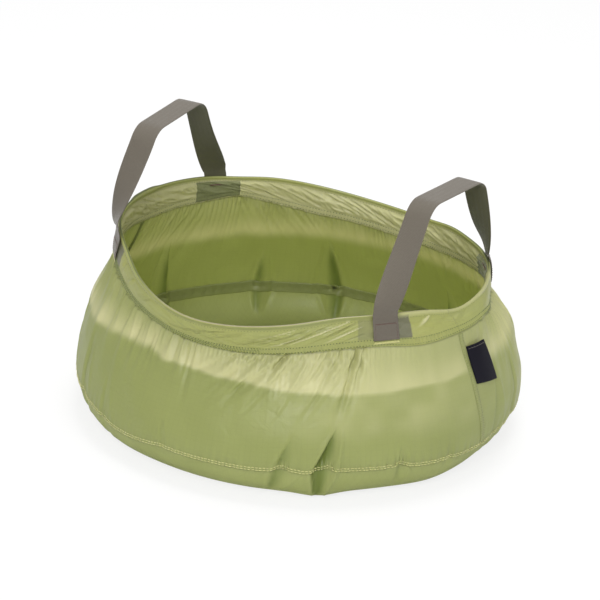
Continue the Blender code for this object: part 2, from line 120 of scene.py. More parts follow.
# humps of the real hoop, of the collar's edge and of the floor seam: azimuth, degrees, metres
HOOP_UP = ((-7.0, 11.0, -0.0046), (-100.0, 14.0, -0.0019), (-50.0, 9.0, 0.0016),
           (66.0, 8.0, 0.0018), (143.0, 9.0, -0.0015))
HOOP_OUT = ((-133.0, 12.0, -0.0032), (25.0, 14.0, -0.0018))
EDGE_UP = ((-25.0, 10.0, -0.0042), (-66.0, 16.0, -0.0020), (-122.0, 10.0, -0.0015), (2.0, 9.0, 0.0035),
           (143.0, 9.0, 0.0046), (117.0, 9.0, -0.0020), (178.0, 12.0, -0.0032))
EDGE_OUT = ((22.0, 19.0, -0.0125), (-165.0, 14.0, -0.0020))
FLOOR_SEAM_UP = ((-110.0, 12.0, -0.0040), (-43.0, 9.0, 0.0028), (-8.0, 14.0, -0.0030))
print("floor seam", FLOOR_SEAM_RADIUS, "and hoop", RIM_RADIUS, "in radius")

# %% [markdown]
# ## Lines round the bowl
# The handles lift the hoop where they are sewn on, so from the side the mouth rises and falls. Its
# points could be moved by hand, but a sum of a few cosines of the azimuth is smooth and closes on
# itself. Where the real line leaves that sum, small bells are added.

# %% Lines round the bowl
def smooth(share):
    """3 t^2 - 2 t^3, for t cut to 0..1."""
    share = np.clip(share, 0.0, 1.0)
    return share * share * (3.0 - 2.0 * share)


def ramp(value, start, end):
    """0 up to start and 1 from end on, joined smoothly. Start may be the larger of the two."""
    return smooth((value - start) / (end - start))


def turned(azimuth, other):
    """The short angle from other to azimuth, in degrees."""
    return (azimuth - other + 180.0) % 360.0 - 180.0


def bell(azimuth, middle, spread):
    """exp(-x^2), for x the angle from the middle over the spread."""
    return np.exp(-((turned(azimuth, middle) / spread) ** 2))


def cosines(azimuth, table):
    """Sum over the table of size times cos(times (azimuth - crest))."""
    return sum(size * np.cos(np.radians(n * (azimuth - crest))) for n, size, crest in table)


def humps(azimuth, table):
    """Sum of bells round the bowl, each times its size."""
    return sum(size * bell(azimuth, crest, spread) for crest, spread, size in table)


def hoop_height(azimuth):
    """The hoop's mean height plus its waves."""
    return RIM_HEIGHT + RIM_WAVE * cosines(azimuth, WAVES)


def collar_edge(azimuth):
    """The collar hangs its drop below the hoop, leaning out by a waving angle."""
    lean = np.radians(MEAN_LEAN + cosines(azimuth, LEAN_WAVES))
    return RIM_RADIUS + COLLAR_DROP * np.sin(lean), hoop_height(azimuth) - COLLAR_DROP * np.cos(lean)


print("rim from", round(hoop_height(np.arange(360)).min(), 4), "to",
      round(hoop_height(np.arange(360)).max(), 4))

# %% [markdown]
# ## Folds
# The wall is cut wider than the hoop, so the cloth has to go somewhere. It is pleated where it
# crosses the floor seam, it is pulled into a fan of tight lines below each handle, and it puckers
# along every sewn line. A pleat is a valley with one steep side, widest just above the seam.
# Painting folds as bump alone would leave the outline smooth, so they move the surface itself.

# %% Bulges and pleats
# azimuth, spread in degrees, row, spread in rows, how far out
BULGES = (
    (-152.0, 30.0, 0.58, 0.30, 0.0042),
    (30.0, 15.0, 0.76, 0.20, 0.0028),
    (22.0, 13.0, 0.02, 0.34, 0.0022),
    (0.0, 9.0, -0.60, 0.40, -0.0024),
    (-21.0, 8.0, -0.70, 0.50, 0.0026),
    (-125.0, 22.0, -0.40, 0.34, 0.0018),
    (18.0, 22.0, 0.40, 0.26, 0.0030),
    (6.0, 18.0, -0.15, 0.30, -0.0012),
    (-37.0, 10.0, -0.80, 0.40, -0.0008),
    (-53.0, 6.0, -0.90, 0.45, 0.0062),
)
# azimuth at the floor seam, degrees gained per row above it, and below it, width in degrees
# (less than zero puts the steep side on the right), depth, first row, last row
PLEATS = (
    (-54.2, 13.2, -0.8, 4.6, 0.0066, -0.98, 0.44),
    (-49.2, 4.0, 1.0, -1.1, 0.0010, -0.10, 0.34),
    (-63.8, 11.0, 3.4, 5.5, 0.0030, -0.85, 0.40),
    (-32.4, 0.0, -0.5, 2.8, 0.0018, -0.75, 0.30),
    (-95.2, -4.0, 0.0, 2.4, 0.0022, -0.12, 0.36),
    (-118.0, -3.0, 0.0, 4.5, 0.0010, -0.80, 0.45),
    (-132.0, -2.0, 0.0, 5.0, 0.0015, -0.80, 0.60),
    (-153.0, 5.0, 0.0, 5.0, 0.0028, -0.80, 0.65),
    (-18.0, 2.0, 0.0, 2.6, 0.0009, -0.50, 0.25),
    (1.5, -1.0, 0.0, 4.5, 0.0018, -0.80, 0.70),
    (14.0, -3.0, 0.0, -4.0, 0.0016, -0.80, 0.80),
    (25.0, -4.0, 0.0, 4.5, 0.0016, -0.80, 0.65),
    (48.0, 6.0, 0.0, 5.5, 0.0048, -0.90, 0.65),
    (74.0, -3.0, 0.0, -4.5, 0.0030, -0.80, 0.50),
    (93.0, 3.0, 0.0, 3.5, 0.0022, -0.70, 0.35),
    (109.0, 5.0, 0.0, 5.5, 0.0042, -0.90, 0.70),
    (133.0, -4.0, 0.0, -4.5, 0.0030, -0.80, 0.50),
    (161.0, 4.0, 0.0, 5.0, 0.0034, -0.80, 0.65),
)
GROW_ROWS = 0.45
FADE_ROWS = 0.36
print(len(BULGES), "bulges and", len(PLEATS), "pleats")

# %% [markdown]
# ## Gathers and pulled lines
# The thread of the floor seam gathers the cloth at a few places and lifts the seam's line there.
# A pulled line is a narrow valley between two points of the wall, below a handle. Each of the large
# ones is listed one by one, because the eye looks for them.

# %% Gathers and pulled lines
# azimuth of each gather, and how far it lifts the seam's line
GATHERS = (
    (-51.4, 0.0048), (-62.6, 0.0044), (-32.4, 0.0046), (-95.2, 0.0018), (-117.0, 0.0012),
    (-131.0, 0.0024), (-17.0, 0.0015), (14.0, 0.0022), (49.0, 0.0036), (74.0, 0.0024),
    (110.0, 0.0034), (133.0, 0.0022), (162.0, 0.0028), (-152.0, 0.0024),
)
GATHER_REACH = 2.8
GATHER_ROWS = 0.32
# azimuth and row at the top, azimuth and row at the bottom, width in degrees, depth
PULLED_LINES = (
    (-43.0, 1.05, -51.6, 0.20, 1.2, 0.0034),
    (-41.0, 1.05, -48.6, 0.28, 0.9, 0.0022),
    (-42.0, 1.05, -49.9, 0.28, 0.7, -0.0016),
    (-49.0, 1.05, -58.5, 0.40, 0.8, 0.0014),
    (-56.0, 1.04, -76.0, 0.42, 2.2, 0.0017),
    (-61.0, 1.04, -83.0, 0.50, 1.8, 0.0020),
    (-63.5, 1.04, -85.0, 0.56, 1.5, -0.0015),
    (-68.0, 1.04, -90.0, 0.58, 1.8, 0.0018),
    (-75.0, 1.04, -95.0, 0.66, 1.8, 0.0015),
    (-108.0, 1.04, -110.0, 0.55, 1.7, 0.0016),
    (-114.5, 1.04, -117.0, 0.50, 2.0, 0.0020),
    (-121.0, 1.04, -123.0, 0.50, 1.8, 0.0018),
    (-127.5, 1.04, -129.0, 0.45, 2.2, 0.0020),
    (-102.5, 1.04, -104.5, 0.62, 1.3, 0.0014),
    (3.0, 1.03, 4.0, 0.35, 1.8, 0.0014),
    (9.0, 1.03, 9.5, 0.30, 2.0, 0.0014),
)
print(len(GATHERS), "gathers and", len(PULLED_LINES), "pulled lines")

# %% [markdown]
# ## Chance
# No two folds of real cloth are alike. Between the large ones lie dozens of small lines, and soft
# drifts cross the whole wall. They come from tables of random values, joined smoothly, and from
# fans of lines. The generator has a fixed seed, so that every run gives the same bowl.

# %% Random fields and fans of lines
# first and last azimuth at the collar, lines, degrees swept on the way down, depth
FANS = (
    (-39.0, -78.0, 36, 17.0, 0.0017),
    (-92.0, -150.0, 30, -2.5, 0.0022),
    (-2.0, 34.0, 30, 2.5, 0.0016),
    (36.0, 66.0, 18, -14.0, 0.0011),
    (118.0, 146.0, 18, 14.0, 0.0011),
    (152.0, 176.0, 14, -10.0, 0.0010),
    (70.0, 112.0, 14, 3.0, 0.0008),
)
FAN_TOP = 1.06
FAN_WIDTH = 0.75
TABLE_SIZES = ((48, 61), (150, 61), (90, 67), (240, 71), (60, 53))
noise_source = np.random.default_rng(7)
DRIFT, STREAK, CRUMPLE, FINE_CRUMPLE, PUCKER_PHASE = (
    noise_source.uniform(-1.0, 1.0, size) for size in TABLE_SIZES)


def fan(first, last, count, sweep, depth):
    """Lines that leave the collar's seam side by side and all sweep the same way."""
    tops = np.linspace(first, last, count) + noise_source.uniform(-0.4, 0.4, count)
    ends = tops - sweep * noise_source.uniform(0.6, 1.15, count)
    lowest = noise_source.uniform(0.28, 0.72, count)
    depths = depth * noise_source.uniform(0.35, 1.0, count) * noise_source.choice([1, 1, -0.8], count)
    widths = FAN_WIDTH * noise_source.uniform(0.8, 1.5, count)
    return zip(tops, [FAN_TOP] * count, ends, lowest, widths, depths)


ALL_LINES = np.array([*PULLED_LINES, *(line for one in FANS for line in fan(*one))])


def cloud(azimuth, row, turns, per_row, table):
    """A soft random field: values on a grid, joined by 3 t^2 - 2 t^3 steps both ways."""
    across = np.asarray(azimuth) / 360.0 * turns
    along = np.asarray(row) * per_row + 40.0
    a, r = np.floor(across).astype(int), np.floor(along).astype(int)
    fa, fr = smooth(across - a), smooth(along - r)
    wide, high = table.shape
    near, far = a % turns % wide, (a + 1) % turns % wide
    low = table[near, r % high] * (1 - fa) + table[far, r % high] * fa
    top = table[near, (r + 1) % high] * (1 - fa) + table[far, (r + 1) % high] * fa
    return low * (1 - fr) + top * fr


print(len(ALL_LINES), "lines in all")

# %% [markdown]
# ## Valleys and puckers
# Each kind of fold is one formula of azimuth and row, and the wall's inset is their sum. Sculpting
# them would be quicker, but a formula can be read, changed and asked for the depth at any stitch.

# %% Valleys
def gather_share(azimuth, reach):
    """Sum of cusps exp(-|x| / reach) about the gathers, each times its height."""
    return sum(lift * np.exp(-abs(turned(azimuth, place)) / reach) for place, lift in GATHERS)


def bulge(azimuth, row):
    """Sum of round swellings exp(-x^2 - y^2)."""
    return sum(out * np.exp(-(turned(azimuth, place) / spread) ** 2 - ((row - middle) / rows) ** 2)
               for place, spread, middle, rows, out in BULGES)


def pleats_inset(azimuth, row):
    """Valleys steep on one side: exp(-(x/0.15)^2) up to the bottom, (1 - x)^1.15 beyond it, with
    a ridge on either side. The thread of the floor seam holds each one half closed."""
    inset = 0.0
    for start, gain, tail, width, depth, low, high in PLEATS:
        middle = start + gain * np.maximum(row, 0.0) + tail * np.minimum(row, 0.0)
        flare = 0.30 + 0.70 * ramp(row, high, -0.05) * (1.0 - 0.70 * ramp(row, 0.0, -0.7))
        x = turned(azimuth, middle) / (width * flare)
        valley = np.where(x < 0.0, np.exp(-(x / 0.15) ** 2), np.clip(1.0 - x, 0.0, 1.0) ** 1.15)
        ridge = 0.34 * np.exp(-((x - 1.1) / 0.20) ** 2) + 0.22 * np.exp(-((x + 0.42) / 0.24) ** 2)
        ends = smooth((row - low) / GROW_ROWS) * smooth((high - row) / FADE_ROWS)
        held = 1.0 - 0.40 * np.exp(-((row / 0.05) ** 2))
        inset = inset + depth * ends * held * (valley - ridge)
    return inset


def lines_inset(azimuth, row, lines):
    """Narrow valleys exp(-x^2) about lines between two points, deepest a little below the top."""
    inset = 0.0
    for top, top_row, end, end_row, width, depth in lines:
        down = (top_row - row) / (top_row - end_row)
        x = turned(azimuth, top + (end - top) * down) / (width * (0.7 + 0.6 * np.clip(down, 0, 1)))
        strength = ramp(down, -0.05, 0.05) * ramp(down, 1.0, 0.25)
        side = np.exp(-((x - 1.5) ** 2)) + np.exp(-((x + 1.5) ** 2))
        inset = inset + depth * strength * (np.exp(-x * x) - 0.30 * side)
    return inset


steepest = np.linspace(-60.0, -40.0, 200)
print("deepest pleat:", round(float(pleats_inset(steepest, np.full(200, 0.2)).max()), 4))

# %% [markdown]
# ## Puckers and drifts
# Thread is always a little tighter than the cloth it holds, so the cloth puckers beside it in short
# waves. A plain wave would look like a machine part, so its phase and strength wander.

# %% Puckers, drifts and the wall's whole inset
DRIFT_DEPTH = 0.0013
STREAK_DEPTH = 0.0008
CALM_SIDE = -20.0
PUCKER_DEPTH = 0.00115
PUCKER_REACH = 0.12
SEAM_PUCKER_DEPTH = 0.00060
SEAM_PUCKER_REACH = 0.085
GATHER_PUCKER = 0.0011


def pucker_wave(azimuth, pitch):
    """A cosine of the azimuth whose phase and strength wander, so that no two puckers match."""
    phase = 5.0 * cloud(azimuth, 0.0, 30, 1, PUCKER_PHASE)
    strength = 0.65 + 0.35 * cloud(azimuth, 3.0, 60, 1, PUCKER_PHASE)
    return strength * np.cos(np.radians(azimuth * round(360.0 / pitch)) + phase)


def collar_puckers(azimuth, row):
    """Waves below the collar's seam, gone a little below it: exp(-distance / reach)."""
    below = np.maximum(1.0 - row, 0.0)
    reach = PUCKER_REACH * (1.0 + 0.5 * cloud(azimuth, 5.0, 60, 1, PUCKER_PHASE))
    strength = PUCKER_DEPTH * np.exp(-below / reach) * (row < 1.0) * ramp(below, 0.0, 0.02)
    return strength * pucker_wave(azimuth, 1.5)


def floor_puckers(azimuth, row):
    """Waves on both sides of the floor seam, and closer, tighter ones at its gathers."""
    waves = SEAM_PUCKER_DEPTH * np.exp(-abs(row) / SEAM_PUCKER_REACH) * pucker_wave(azimuth, 2.6)
    near = np.minimum(gather_share(azimuth, 1.6) / 0.0035, 1.0) * np.exp(-((row / 0.07) ** 2))
    return waves + GATHER_PUCKER * near * np.cos(np.radians(azimuth * 330.0))


def wall_inset(azimuth, row):
    """Drifts, streaks, pleats, lines and puckers, less the bulges. One side below the collar is
    calm: the cloth hangs smooth there."""
    azimuth, row = np.broadcast_arrays(np.asarray(azimuth, float), np.asarray(row, float))
    middle = ramp(row, 0.0, 0.3) * ramp(row, 1.02, 0.77)
    calm = 1.0 - 0.94 * bell(azimuth, CALM_SIDE, 17.0)
    upper = ramp(row, 0.15, 0.65) * ramp(row, 1.03, 0.91) * calm
    drifts = (cloud(azimuth + 24.0 * row, row, 48, 2.2, DRIFT)
              + cloud(azimuth - 38.0 * row, row + 0.23, 30, 1.6, CRUMPLE))
    inset = np.asarray(0.6 * DRIFT_DEPTH * middle * drifts
                       + STREAK_DEPTH * upper * cloud(azimuth, row, 150, 1.1, STREAK))
    wall = row < 1.04
    inset[wall] += pleats_inset(azimuth[wall], row[wall])
    inset[wall] += lines_inset(azimuth[wall], row[wall], ALL_LINES) * ramp(row[wall], 1.03, 0.99)
    inset = inset + calm * collar_puckers(azimuth, row) + floor_puckers(azimuth, row)
    return inset - bulge(azimuth, row)


print("deepest inset:", round(float(wall_inset(steepest, np.full(200, 0.2)).max()), 4))

# %% [markdown]
# ## The surface itself
# Under the floor seam the bowl curves in to its flat base, above it a cone with a slight belly goes
# up to the collar, and the collar goes on straight to the hoop. A cage of control points could be
# pulled into that shape, but a formula gives any stitch its exact place on the same surface.

# %% The surface
BASE_HEIGHT = 0.0008


def bowl(azimuth, row):
    """Point of the surface: under the seam a curve between a quarter arc and a straight line,
    above it a bellied cone, then a straight collar, all drawn in by the folds."""
    azimuth, row = np.broadcast_arrays(np.asarray(azimuth, float), np.asarray(row, float))
    edge_radius, edge_height = collar_edge(azimuth)
    straight = 1.0 + np.clip(row, -1.0, 0.0)
    quarter = straight * math.pi / 2.0
    outwards = ROUND_SHARE * np.sin(quarter) + (1.0 - ROUND_SHARE) * straight
    upwards = ROUND_SHARE * (1.0 - np.cos(quarter)) + (1.0 - ROUND_SHARE) * straight
    up = np.clip(row, 0.0, 1.0)
    over = np.maximum(row - 1.0, 0.0)
    belly = WALL_BELLY * 6.75 * up * (1.0 - up) ** 2
    cone = FLOOR_SEAM_RADIUS + (edge_radius - FLOOR_SEAM_RADIUS) * up + belly
    curve = FLOOR_EDGE_RADIUS + (FLOOR_SEAM_RADIUS - FLOOR_EDGE_RADIUS) * outwards
    radius = np.where(row < 0.0, curve, cone) + (RIM_RADIUS - edge_radius) * over
    radius = radius - wall_inset(azimuth, row) * ramp(row, -1.06, -0.94)
    height = np.where(row < 0.0, BASE_HEIGHT + (FLOOR_SEAM_HEIGHT - BASE_HEIGHT) * upwards,
                      FLOOR_SEAM_HEIGHT + (edge_height - FLOOR_SEAM_HEIGHT) * up)
    height = height + (hoop_height(azimuth) - edge_height) * over
    neck = np.where(row < 1.0, np.clip((up - 0.45) / 0.55, 0.0, 1.0) ** 1.3, 1.0 - over)
    drawn = np.where(row < 1.0, neck * neck * neck, neck)
    radius = radius + humps(azimuth, EDGE_OUT) * drawn + humps(azimuth, HOOP_OUT) * over
    height = height + humps(azimuth, EDGE_UP) * neck + humps(azimuth, HOOP_UP) * over
    height = height + humps(azimuth, FLOOR_SEAM_UP) * np.exp(-((row / 0.55) ** 2))
    height = height + gather_share(azimuth, GATHER_REACH) * np.exp(-((row / GATHER_ROWS) ** 2))
    angle = np.radians(azimuth)
    return np.stack([radius * np.cos(angle), radius * np.sin(angle), height], -1)


def unit(vectors):
    """Each vector divided by its length."""
    return vectors / np.linalg.norm(vectors, axis=-1, keepdims=True)


def bowl_frame(azimuth, row):
    """Point, outward normal and upward direction, from small steps along both parameters."""
    azimuth, row = np.broadcast_arrays(np.asarray(azimuth, float), np.asarray(row, float))
    along = bowl(azimuth + 0.05, row) - bowl(azimuth - 0.05, row)
    rise = bowl(azimuth, row + 0.004) - bowl(azimuth, row - 0.004)
    normal = unit(np.cross(along, rise))
    return bowl(azimuth, row), normal, unit(np.cross(normal, along))


def bowl_out(azimuth, row, out):
    """Point that lies a distance out from the surface, along its normal."""
    point, normal, _ = bowl_frame(azimuth, row)
    return point + normal * np.asarray(out, float)[..., None]


def outward(azimuth):
    """Level direction of length 1 at an azimuth."""
    angle = np.radians(azimuth)
    return np.stack([np.cos(angle), np.sin(angle), 0.0 * angle], -1)


print("wall half way up, in front:", bowl(-60.0, 0.5).round(3))

# %% [markdown]
# ## From arrays to meshes
# Every piece is a grid of points. Neighbouring points become four-cornered faces, and a Solidify
# modifier gives thin cloth its two sides. The texture coordinates are real lengths along the
# cloth, so a weave has the same size on every piece.

# %% Mesh helpers
CLOTH = 0.00028


def degrees_of(length):
    """Azimuth that a length takes up along the rim."""
    return np.degrees(length / RIM_RADIUS)


def wall_rows(length):
    """Rows that a length takes up on the wall."""
    return length / (RIM_HEIGHT - COLLAR_DROP - FLOOR_SEAM_HEIGHT)


def surface(name, points, finish, ring=False, values=None, uv=None, thickness=None):
    """Object of a grid of points: columns along the first axis, rows along the second."""
    if ring:
        points = np.concatenate([points, points[:1]])
    columns, rows = points.shape[:2]
    if uv is None:
        wide = np.linalg.norm(np.diff(points, axis=0), axis=-1).mean(1)
        high = np.linalg.norm(np.diff(points, axis=1), axis=-1).mean(0)
        uv = np.stack(np.meshgrid(np.append(0.0, wide.cumsum()), np.append(0.0, high.cumsum()),
                                  indexing="ij"), -1)
    index = np.arange(columns * rows).reshape(columns, rows)
    corners = np.stack([index[:-1, :-1], index[1:, :-1], index[1:, 1:], index[:-1, 1:]], -1)
    corners = corners.reshape(-1, 4)
    places = corners
    if ring:
        points = points[:-1]
        places = corners % ((columns - 1) * rows)
    mesh = bpy.data.meshes.new(name)
    mesh.vertices.add(points.shape[0] * rows)
    mesh.vertices.foreach_set("co", points.astype(np.float32).ravel())
    mesh.loops.add(corners.size)
    mesh.loops.foreach_set("vertex_index", places.astype(np.int32).ravel())
    mesh.polygons.add(len(corners))
    mesh.polygons.foreach_set("loop_start", np.arange(0, corners.size, 4, dtype=np.int32))
    mesh.update(calc_edges=True)
    layer = mesh.uv_layers.new(name="cloth")
    layer.data.foreach_set("uv", uv.reshape(-1, 2)[corners.ravel()].astype(np.float32).ravel())
    for key, value in (values or {}).items():
        value = np.broadcast_to(value, points.shape[:2]).astype(np.float32)
        mesh.attributes.new(key, "FLOAT", "POINT").data.foreach_set("value", value.ravel())
    mesh.shade_smooth()
    mesh.materials.append(finish)
    piece = bpy.data.objects.new(name, mesh)
    bpy.context.scene.collection.objects.link(piece)
    if thickness:
        solid = piece.modifiers.new("Two sides", "SOLIDIFY")
        solid.thickness = thickness
        solid.offset = 0.0
    return piece


def grid(azimuths, rows):
    """The two parameters as full arrays, one column for each azimuth."""
    return np.meshgrid(azimuths, rows, indexing="ij")


def slanted(azimuth, row):
    """Azimuth of a wall's column, drawn round beside the slanting right seam."""
    near = bell(azimuth, RIGHT_SEAM, SLANT_REACH)
    return azimuth + SEAM_SLANT * near * np.clip(row, 0.0, 1.0)


print("cloth", CLOTH, "thick")

# %% [markdown]
# ## Materials
# A material is a small tree of shader nodes. Built by hand in the editor, each tree takes dozens of
# clicks, so a few helpers add a node, its values and its links in one line. The finishes below
# read the mesh's own texture coordinates and a few values noted on its points, which say where
# something dark lies under the cloth, and where light and shade are painted on: paler where light
# shines through, darker in seams, pleats and round the bead, and a painted highlight on the bead.

# %% Node helpers
def node(tree, kind, inputs=None, **settings):
    """Add a shader node, with its settings, its input values and its links."""
    made = tree.nodes.new(kind)
    for key, value in settings.items():
        setattr(made, key, value)
    for key, value in (inputs or {}).items():
        if isinstance(value, bpy.types.NodeSocket):
            tree.links.new(value, made.inputs[key])
        else:
            made.inputs[key].default_value = value
    return made


def sums(tree, operation, first, second=0.0, third=0.0):
    """The result of one Math node."""
    return node(tree, "ShaderNodeMath", {0: first, 1: second, 2: third},
                operation=operation).outputs[0]


def mixed(tree, share, first, second):
    """Colour between two colours."""
    made = node(tree, "ShaderNodeMix", data_type="RGBA")
    for socket, value in ((made.inputs[0], share), (made.inputs[6], first), (made.inputs[7], second)):
        if isinstance(value, bpy.types.NodeSocket):
            tree.links.new(value, socket)
        else:
            socket.default_value = value
    return made.outputs[2]


def noted(tree, name):
    """The value that a mesh attribute holds."""
    return node(tree, "ShaderNodeAttribute", attribute_name=name).outputs["Fac"]


def start_material(name):
    """A material with an empty node tree and its output."""
    finish = bpy.data.materials.new(name)
    finish.use_nodes = True
    finish.node_tree.nodes.clear()
    output = finish.node_tree.nodes.new("ShaderNodeOutputMaterial")
    return finish, finish.node_tree, output


def lines_across(tree, length, pitch, share):
    """1 on thin lines a pitch apart, 0 between them."""
    return sums(tree, "LESS_THAN", sums(tree, "FRACT", sums(tree, "DIVIDE", length, pitch)), share)


def cloth_map(tree):
    """The cloth's texture coordinates, whole and as lengths across it and along it."""
    uv = node(tree, "ShaderNodeUVMap", uv_map="cloth").outputs[0]
    split = node(tree, "ShaderNodeSeparateXYZ", {0: uv})
    return uv, split.outputs[0], split.outputs[1]


def noise(tree, place, scale, detail=1.0, **more):
    """Values of a noise of a given scale."""
    return node(tree, "ShaderNodeTexNoise", {"Vector": place, "Scale": scale, "Detail": detail,
                                             **more}).outputs[0]


print("node helpers ready")

# %% [markdown]
# ## Thin coated cloth
# The cloth is a close weave with a clear coating: smooth to light at a slant, and thin enough that
# light from behind colours it. One Principled shader alone can't do both, so it makes the lit side,
# a Translucent shader makes the light from behind, and the two are mixed.

# %% Thin coated cloth
LIT_GREEN = (0.420, 0.450, 0.175, 1.0)
DEEP_GREEN = (0.340, 0.375, 0.130, 1.0)
COLLAR_GREEN = (0.540, 0.540, 0.172, 1.0)
# Painted light: a paler colour for light shining through the cloth and for sheen.
PAINTED_LIGHT_GREEN = (0.74, 0.72, 0.42, 1.0)
# Ripstop lines and seams, and painted shade at seams and round the bead.
SEAM_GRID_AND_SHADE_GREEN = (0.130, 0.160, 0.045, 1.0)
# Painted shade inside the pleats.
PLEAT_SHADE_GREEN = (0.210, 0.270, 0.050, 1.0)
GLOW_GREEN = (0.64, 0.69, 0.25, 1.0)
# Painted light: the light from behind where the cloth is painted paler.
PAINTED_LIGHT_GLOW = (0.84, 0.82, 0.48, 1.0)
# Painted highlight on the bead's crest.
BEAD_HIGHLIGHT_BEIGE = (0.54, 0.49, 0.32, 1.0)
MASKED = (0.180, 0.176, 0.136, 1.0)
RIPSTOP_PITCH = 0.0042
THREAD_PITCH = 0.00045


def thin_cloth(name, lit, deep, share_through, roughness, gloss):
    """Coated cloth: weave and ripstop squares in colour and bump, and light from behind."""
    finish, tree, output = start_material(name)
    uv, across, along = cloth_map(tree)
    squares = sums(tree, "MAXIMUM", lines_across(tree, across, RIPSTOP_PITCH, 0.09),
                   lines_across(tree, along, RIPSTOP_PITCH, 0.09))
    patchy = noise(tree, uv, 14.0, 3.0, Roughness=0.55)
    speckle = noise(tree, uv, 900.0)
    depth = sums(tree, "MULTIPLY_ADD", patchy, 1.5, sums(tree, "MULTIPLY_ADD", speckle, 0.3, -0.4))
    depth = sums(tree, "MAXIMUM", sums(tree, "MINIMUM", depth, 1.0), 0.0)
    colour = mixed(tree, depth, deep, lit)
    colour = mixed(tree, sums(tree, "MULTIPLY", squares, 0.10), colour, SEAM_GRID_AND_SHADE_GREEN)
    through = GLOW_GREEN
    # Painted light and shade: the pale share is painted light and sheen, the seam and pleat shares are
    # painted shade, the bead share is a painted highlight; the masked share is a patch seen through the
    # cloth.
    for key, seen, behind in (("pale", PAINTED_LIGHT_GREEN, PAINTED_LIGHT_GLOW), ("masked", MASKED, MASKED),
                              ("seam", SEAM_GRID_AND_SHADE_GREEN, SEAM_GRID_AND_SHADE_GREEN), ("fold", PLEAT_SHADE_GREEN, PLEAT_SHADE_GREEN),
                              ("bead_highlight", BEAD_HIGHLIGHT_BEIGE, BEAD_HIGHLIGHT_BEIGE)):
        share = noted(tree, key)
        colour = mixed(tree, share, colour, seen)
        through = mixed(tree, share, through, behind)
    relief = sums(tree, "MULTIPLY_ADD", squares, 0.5, noise(tree, uv, 1.0 / THREAD_PITCH))
    crinkle = noise(tree, uv, 90.0, 4.0, Distortion=0.8)
    bump = node(tree, "ShaderNodeBump", {"Height": relief, "Strength": 0.10, "Distance": 0.0002})
    bump = node(tree, "ShaderNodeBump", {"Height": crinkle, "Strength": 0.45, "Distance": 0.0014,
                                         "Normal": bump.outputs[0]})
    rough = sums(tree, "MULTIPLY_ADD", patchy, 0.18, roughness - 0.09)
    face = node(tree, "ShaderNodeBsdfPrincipled", {
        "Base Color": colour, "Roughness": rough, "Normal": bump.outputs[0], "Sheen Weight": 0.04,
        "Sheen Roughness": 0.5, "Specular IOR Level": 0.5, "Coat Weight": gloss,
        "Coat Roughness": 0.20})
    rear = node(tree, "ShaderNodeBsdfTranslucent", {"Color": through, "Normal": bump.outputs[0]})
    both = node(tree, "ShaderNodeMixShader", {0: share_through, 1: face.outputs[0], 2: rear.outputs[0]})
    tree.links.new(both.outputs[0], output.inputs[0])
    return finish


wall_cloth = thin_cloth("wall_cloth", LIT_GREEN, DEEP_GREEN, 0.42, 0.42, 0.08)
collar_cloth = thin_cloth("collar_cloth", COLLAR_GREEN, LIT_GREEN, 0.42, 0.38, 0.14)
floor_cloth = thin_cloth("floor_cloth", LIT_GREEN, DEEP_GREEN, 0.34, 0.48, 0.03)
print("thin cloth:", [m.name for m in (wall_cloth, collar_cloth, floor_cloth)])

# %% [markdown]
# ## Woven pieces
# Webbing is a coarse weave of thick yarns. Modelling each yarn would take millions of faces, so
# two waves, one along the strap and one in zigzag across it, give the ribs in colour and bump.
# The same weave with a finer rib makes the patches and the label.

# %% Webbing, patches and label
def woven(name, light, dark, inner=None, rib=0.0011, roughness=0.75, strength=0.6, sheen=0.25,
          specular=0.35):
    """Coarse weave: ribs across the strap and rows along it, in colour and bump."""
    finish, tree, output = start_material(name)
    uv, across, along = cloth_map(tree)
    turn = 2.0 * math.pi / rib
    part = sums(tree, "FRACT", sums(tree, "DIVIDE", across, 4.0 * rib))
    zigzag_line = sums(tree, "ABSOLUTE", sums(tree, "SUBTRACT", part, 0.5))
    slope = sums(tree, "MULTIPLY_ADD", zigzag_line, 4.0 * rib, along)
    ribs = sums(tree, "SINE", sums(tree, "MULTIPLY", slope, turn))
    rows = sums(tree, "SINE", sums(tree, "MULTIPLY", across, turn))
    relief = sums(tree, "MULTIPLY_ADD", sums(tree, "MULTIPLY", ribs, rows), 0.25, 0.5)
    fuzz = noise(tree, uv, 700.0, 3.0)
    worn = sums(tree, "MULTIPLY", noise(tree, uv, 45.0, 3.0), 0.25)
    depth = sums(tree, "MULTIPLY_ADD", fuzz, 0.45, sums(tree, "MULTIPLY_ADD", relief, 0.35, worn))
    colour = mixed(tree, depth, dark, light)
    if inner:
        colour = mixed(tree, noted(tree, "inner"), colour, mixed(tree, depth, inner[0], inner[1]))
    bump = node(tree, "ShaderNodeBump", {"Height": sums(tree, "MULTIPLY_ADD", fuzz, 0.3, relief),
                                         "Strength": strength, "Distance": 0.0003})
    face = node(tree, "ShaderNodeBsdfPrincipled", {
        "Base Color": colour, "Roughness": roughness, "Normal": bump.outputs[0],
        "Sheen Weight": sheen, "Sheen Roughness": 0.4, "Specular IOR Level": specular})
    tree.links.new(face.outputs[0], output.inputs[0])
    return finish


webbing = woven("webbing", (0.150, 0.130, 0.102, 1), (0.092, 0.080, 0.062, 1),
                inner=((0.054, 0.055, 0.028, 1), (0.094, 0.090, 0.048, 1)))
patch_cloth = woven("patch_cloth", (0.225, 0.240, 0.105, 1), (0.130, 0.145, 0.060, 1), rib=0.0007,
                    roughness=0.6)
label_cloth = woven("label_cloth", (0.011, 0.010, 0.017, 1), (0.004, 0.004, 0.007, 1), rib=0.0005,
                    roughness=0.55, strength=0.3, sheen=0.0, specular=0.08)
print("woven:", [m.name for m in (webbing, patch_cloth, label_cloth)])

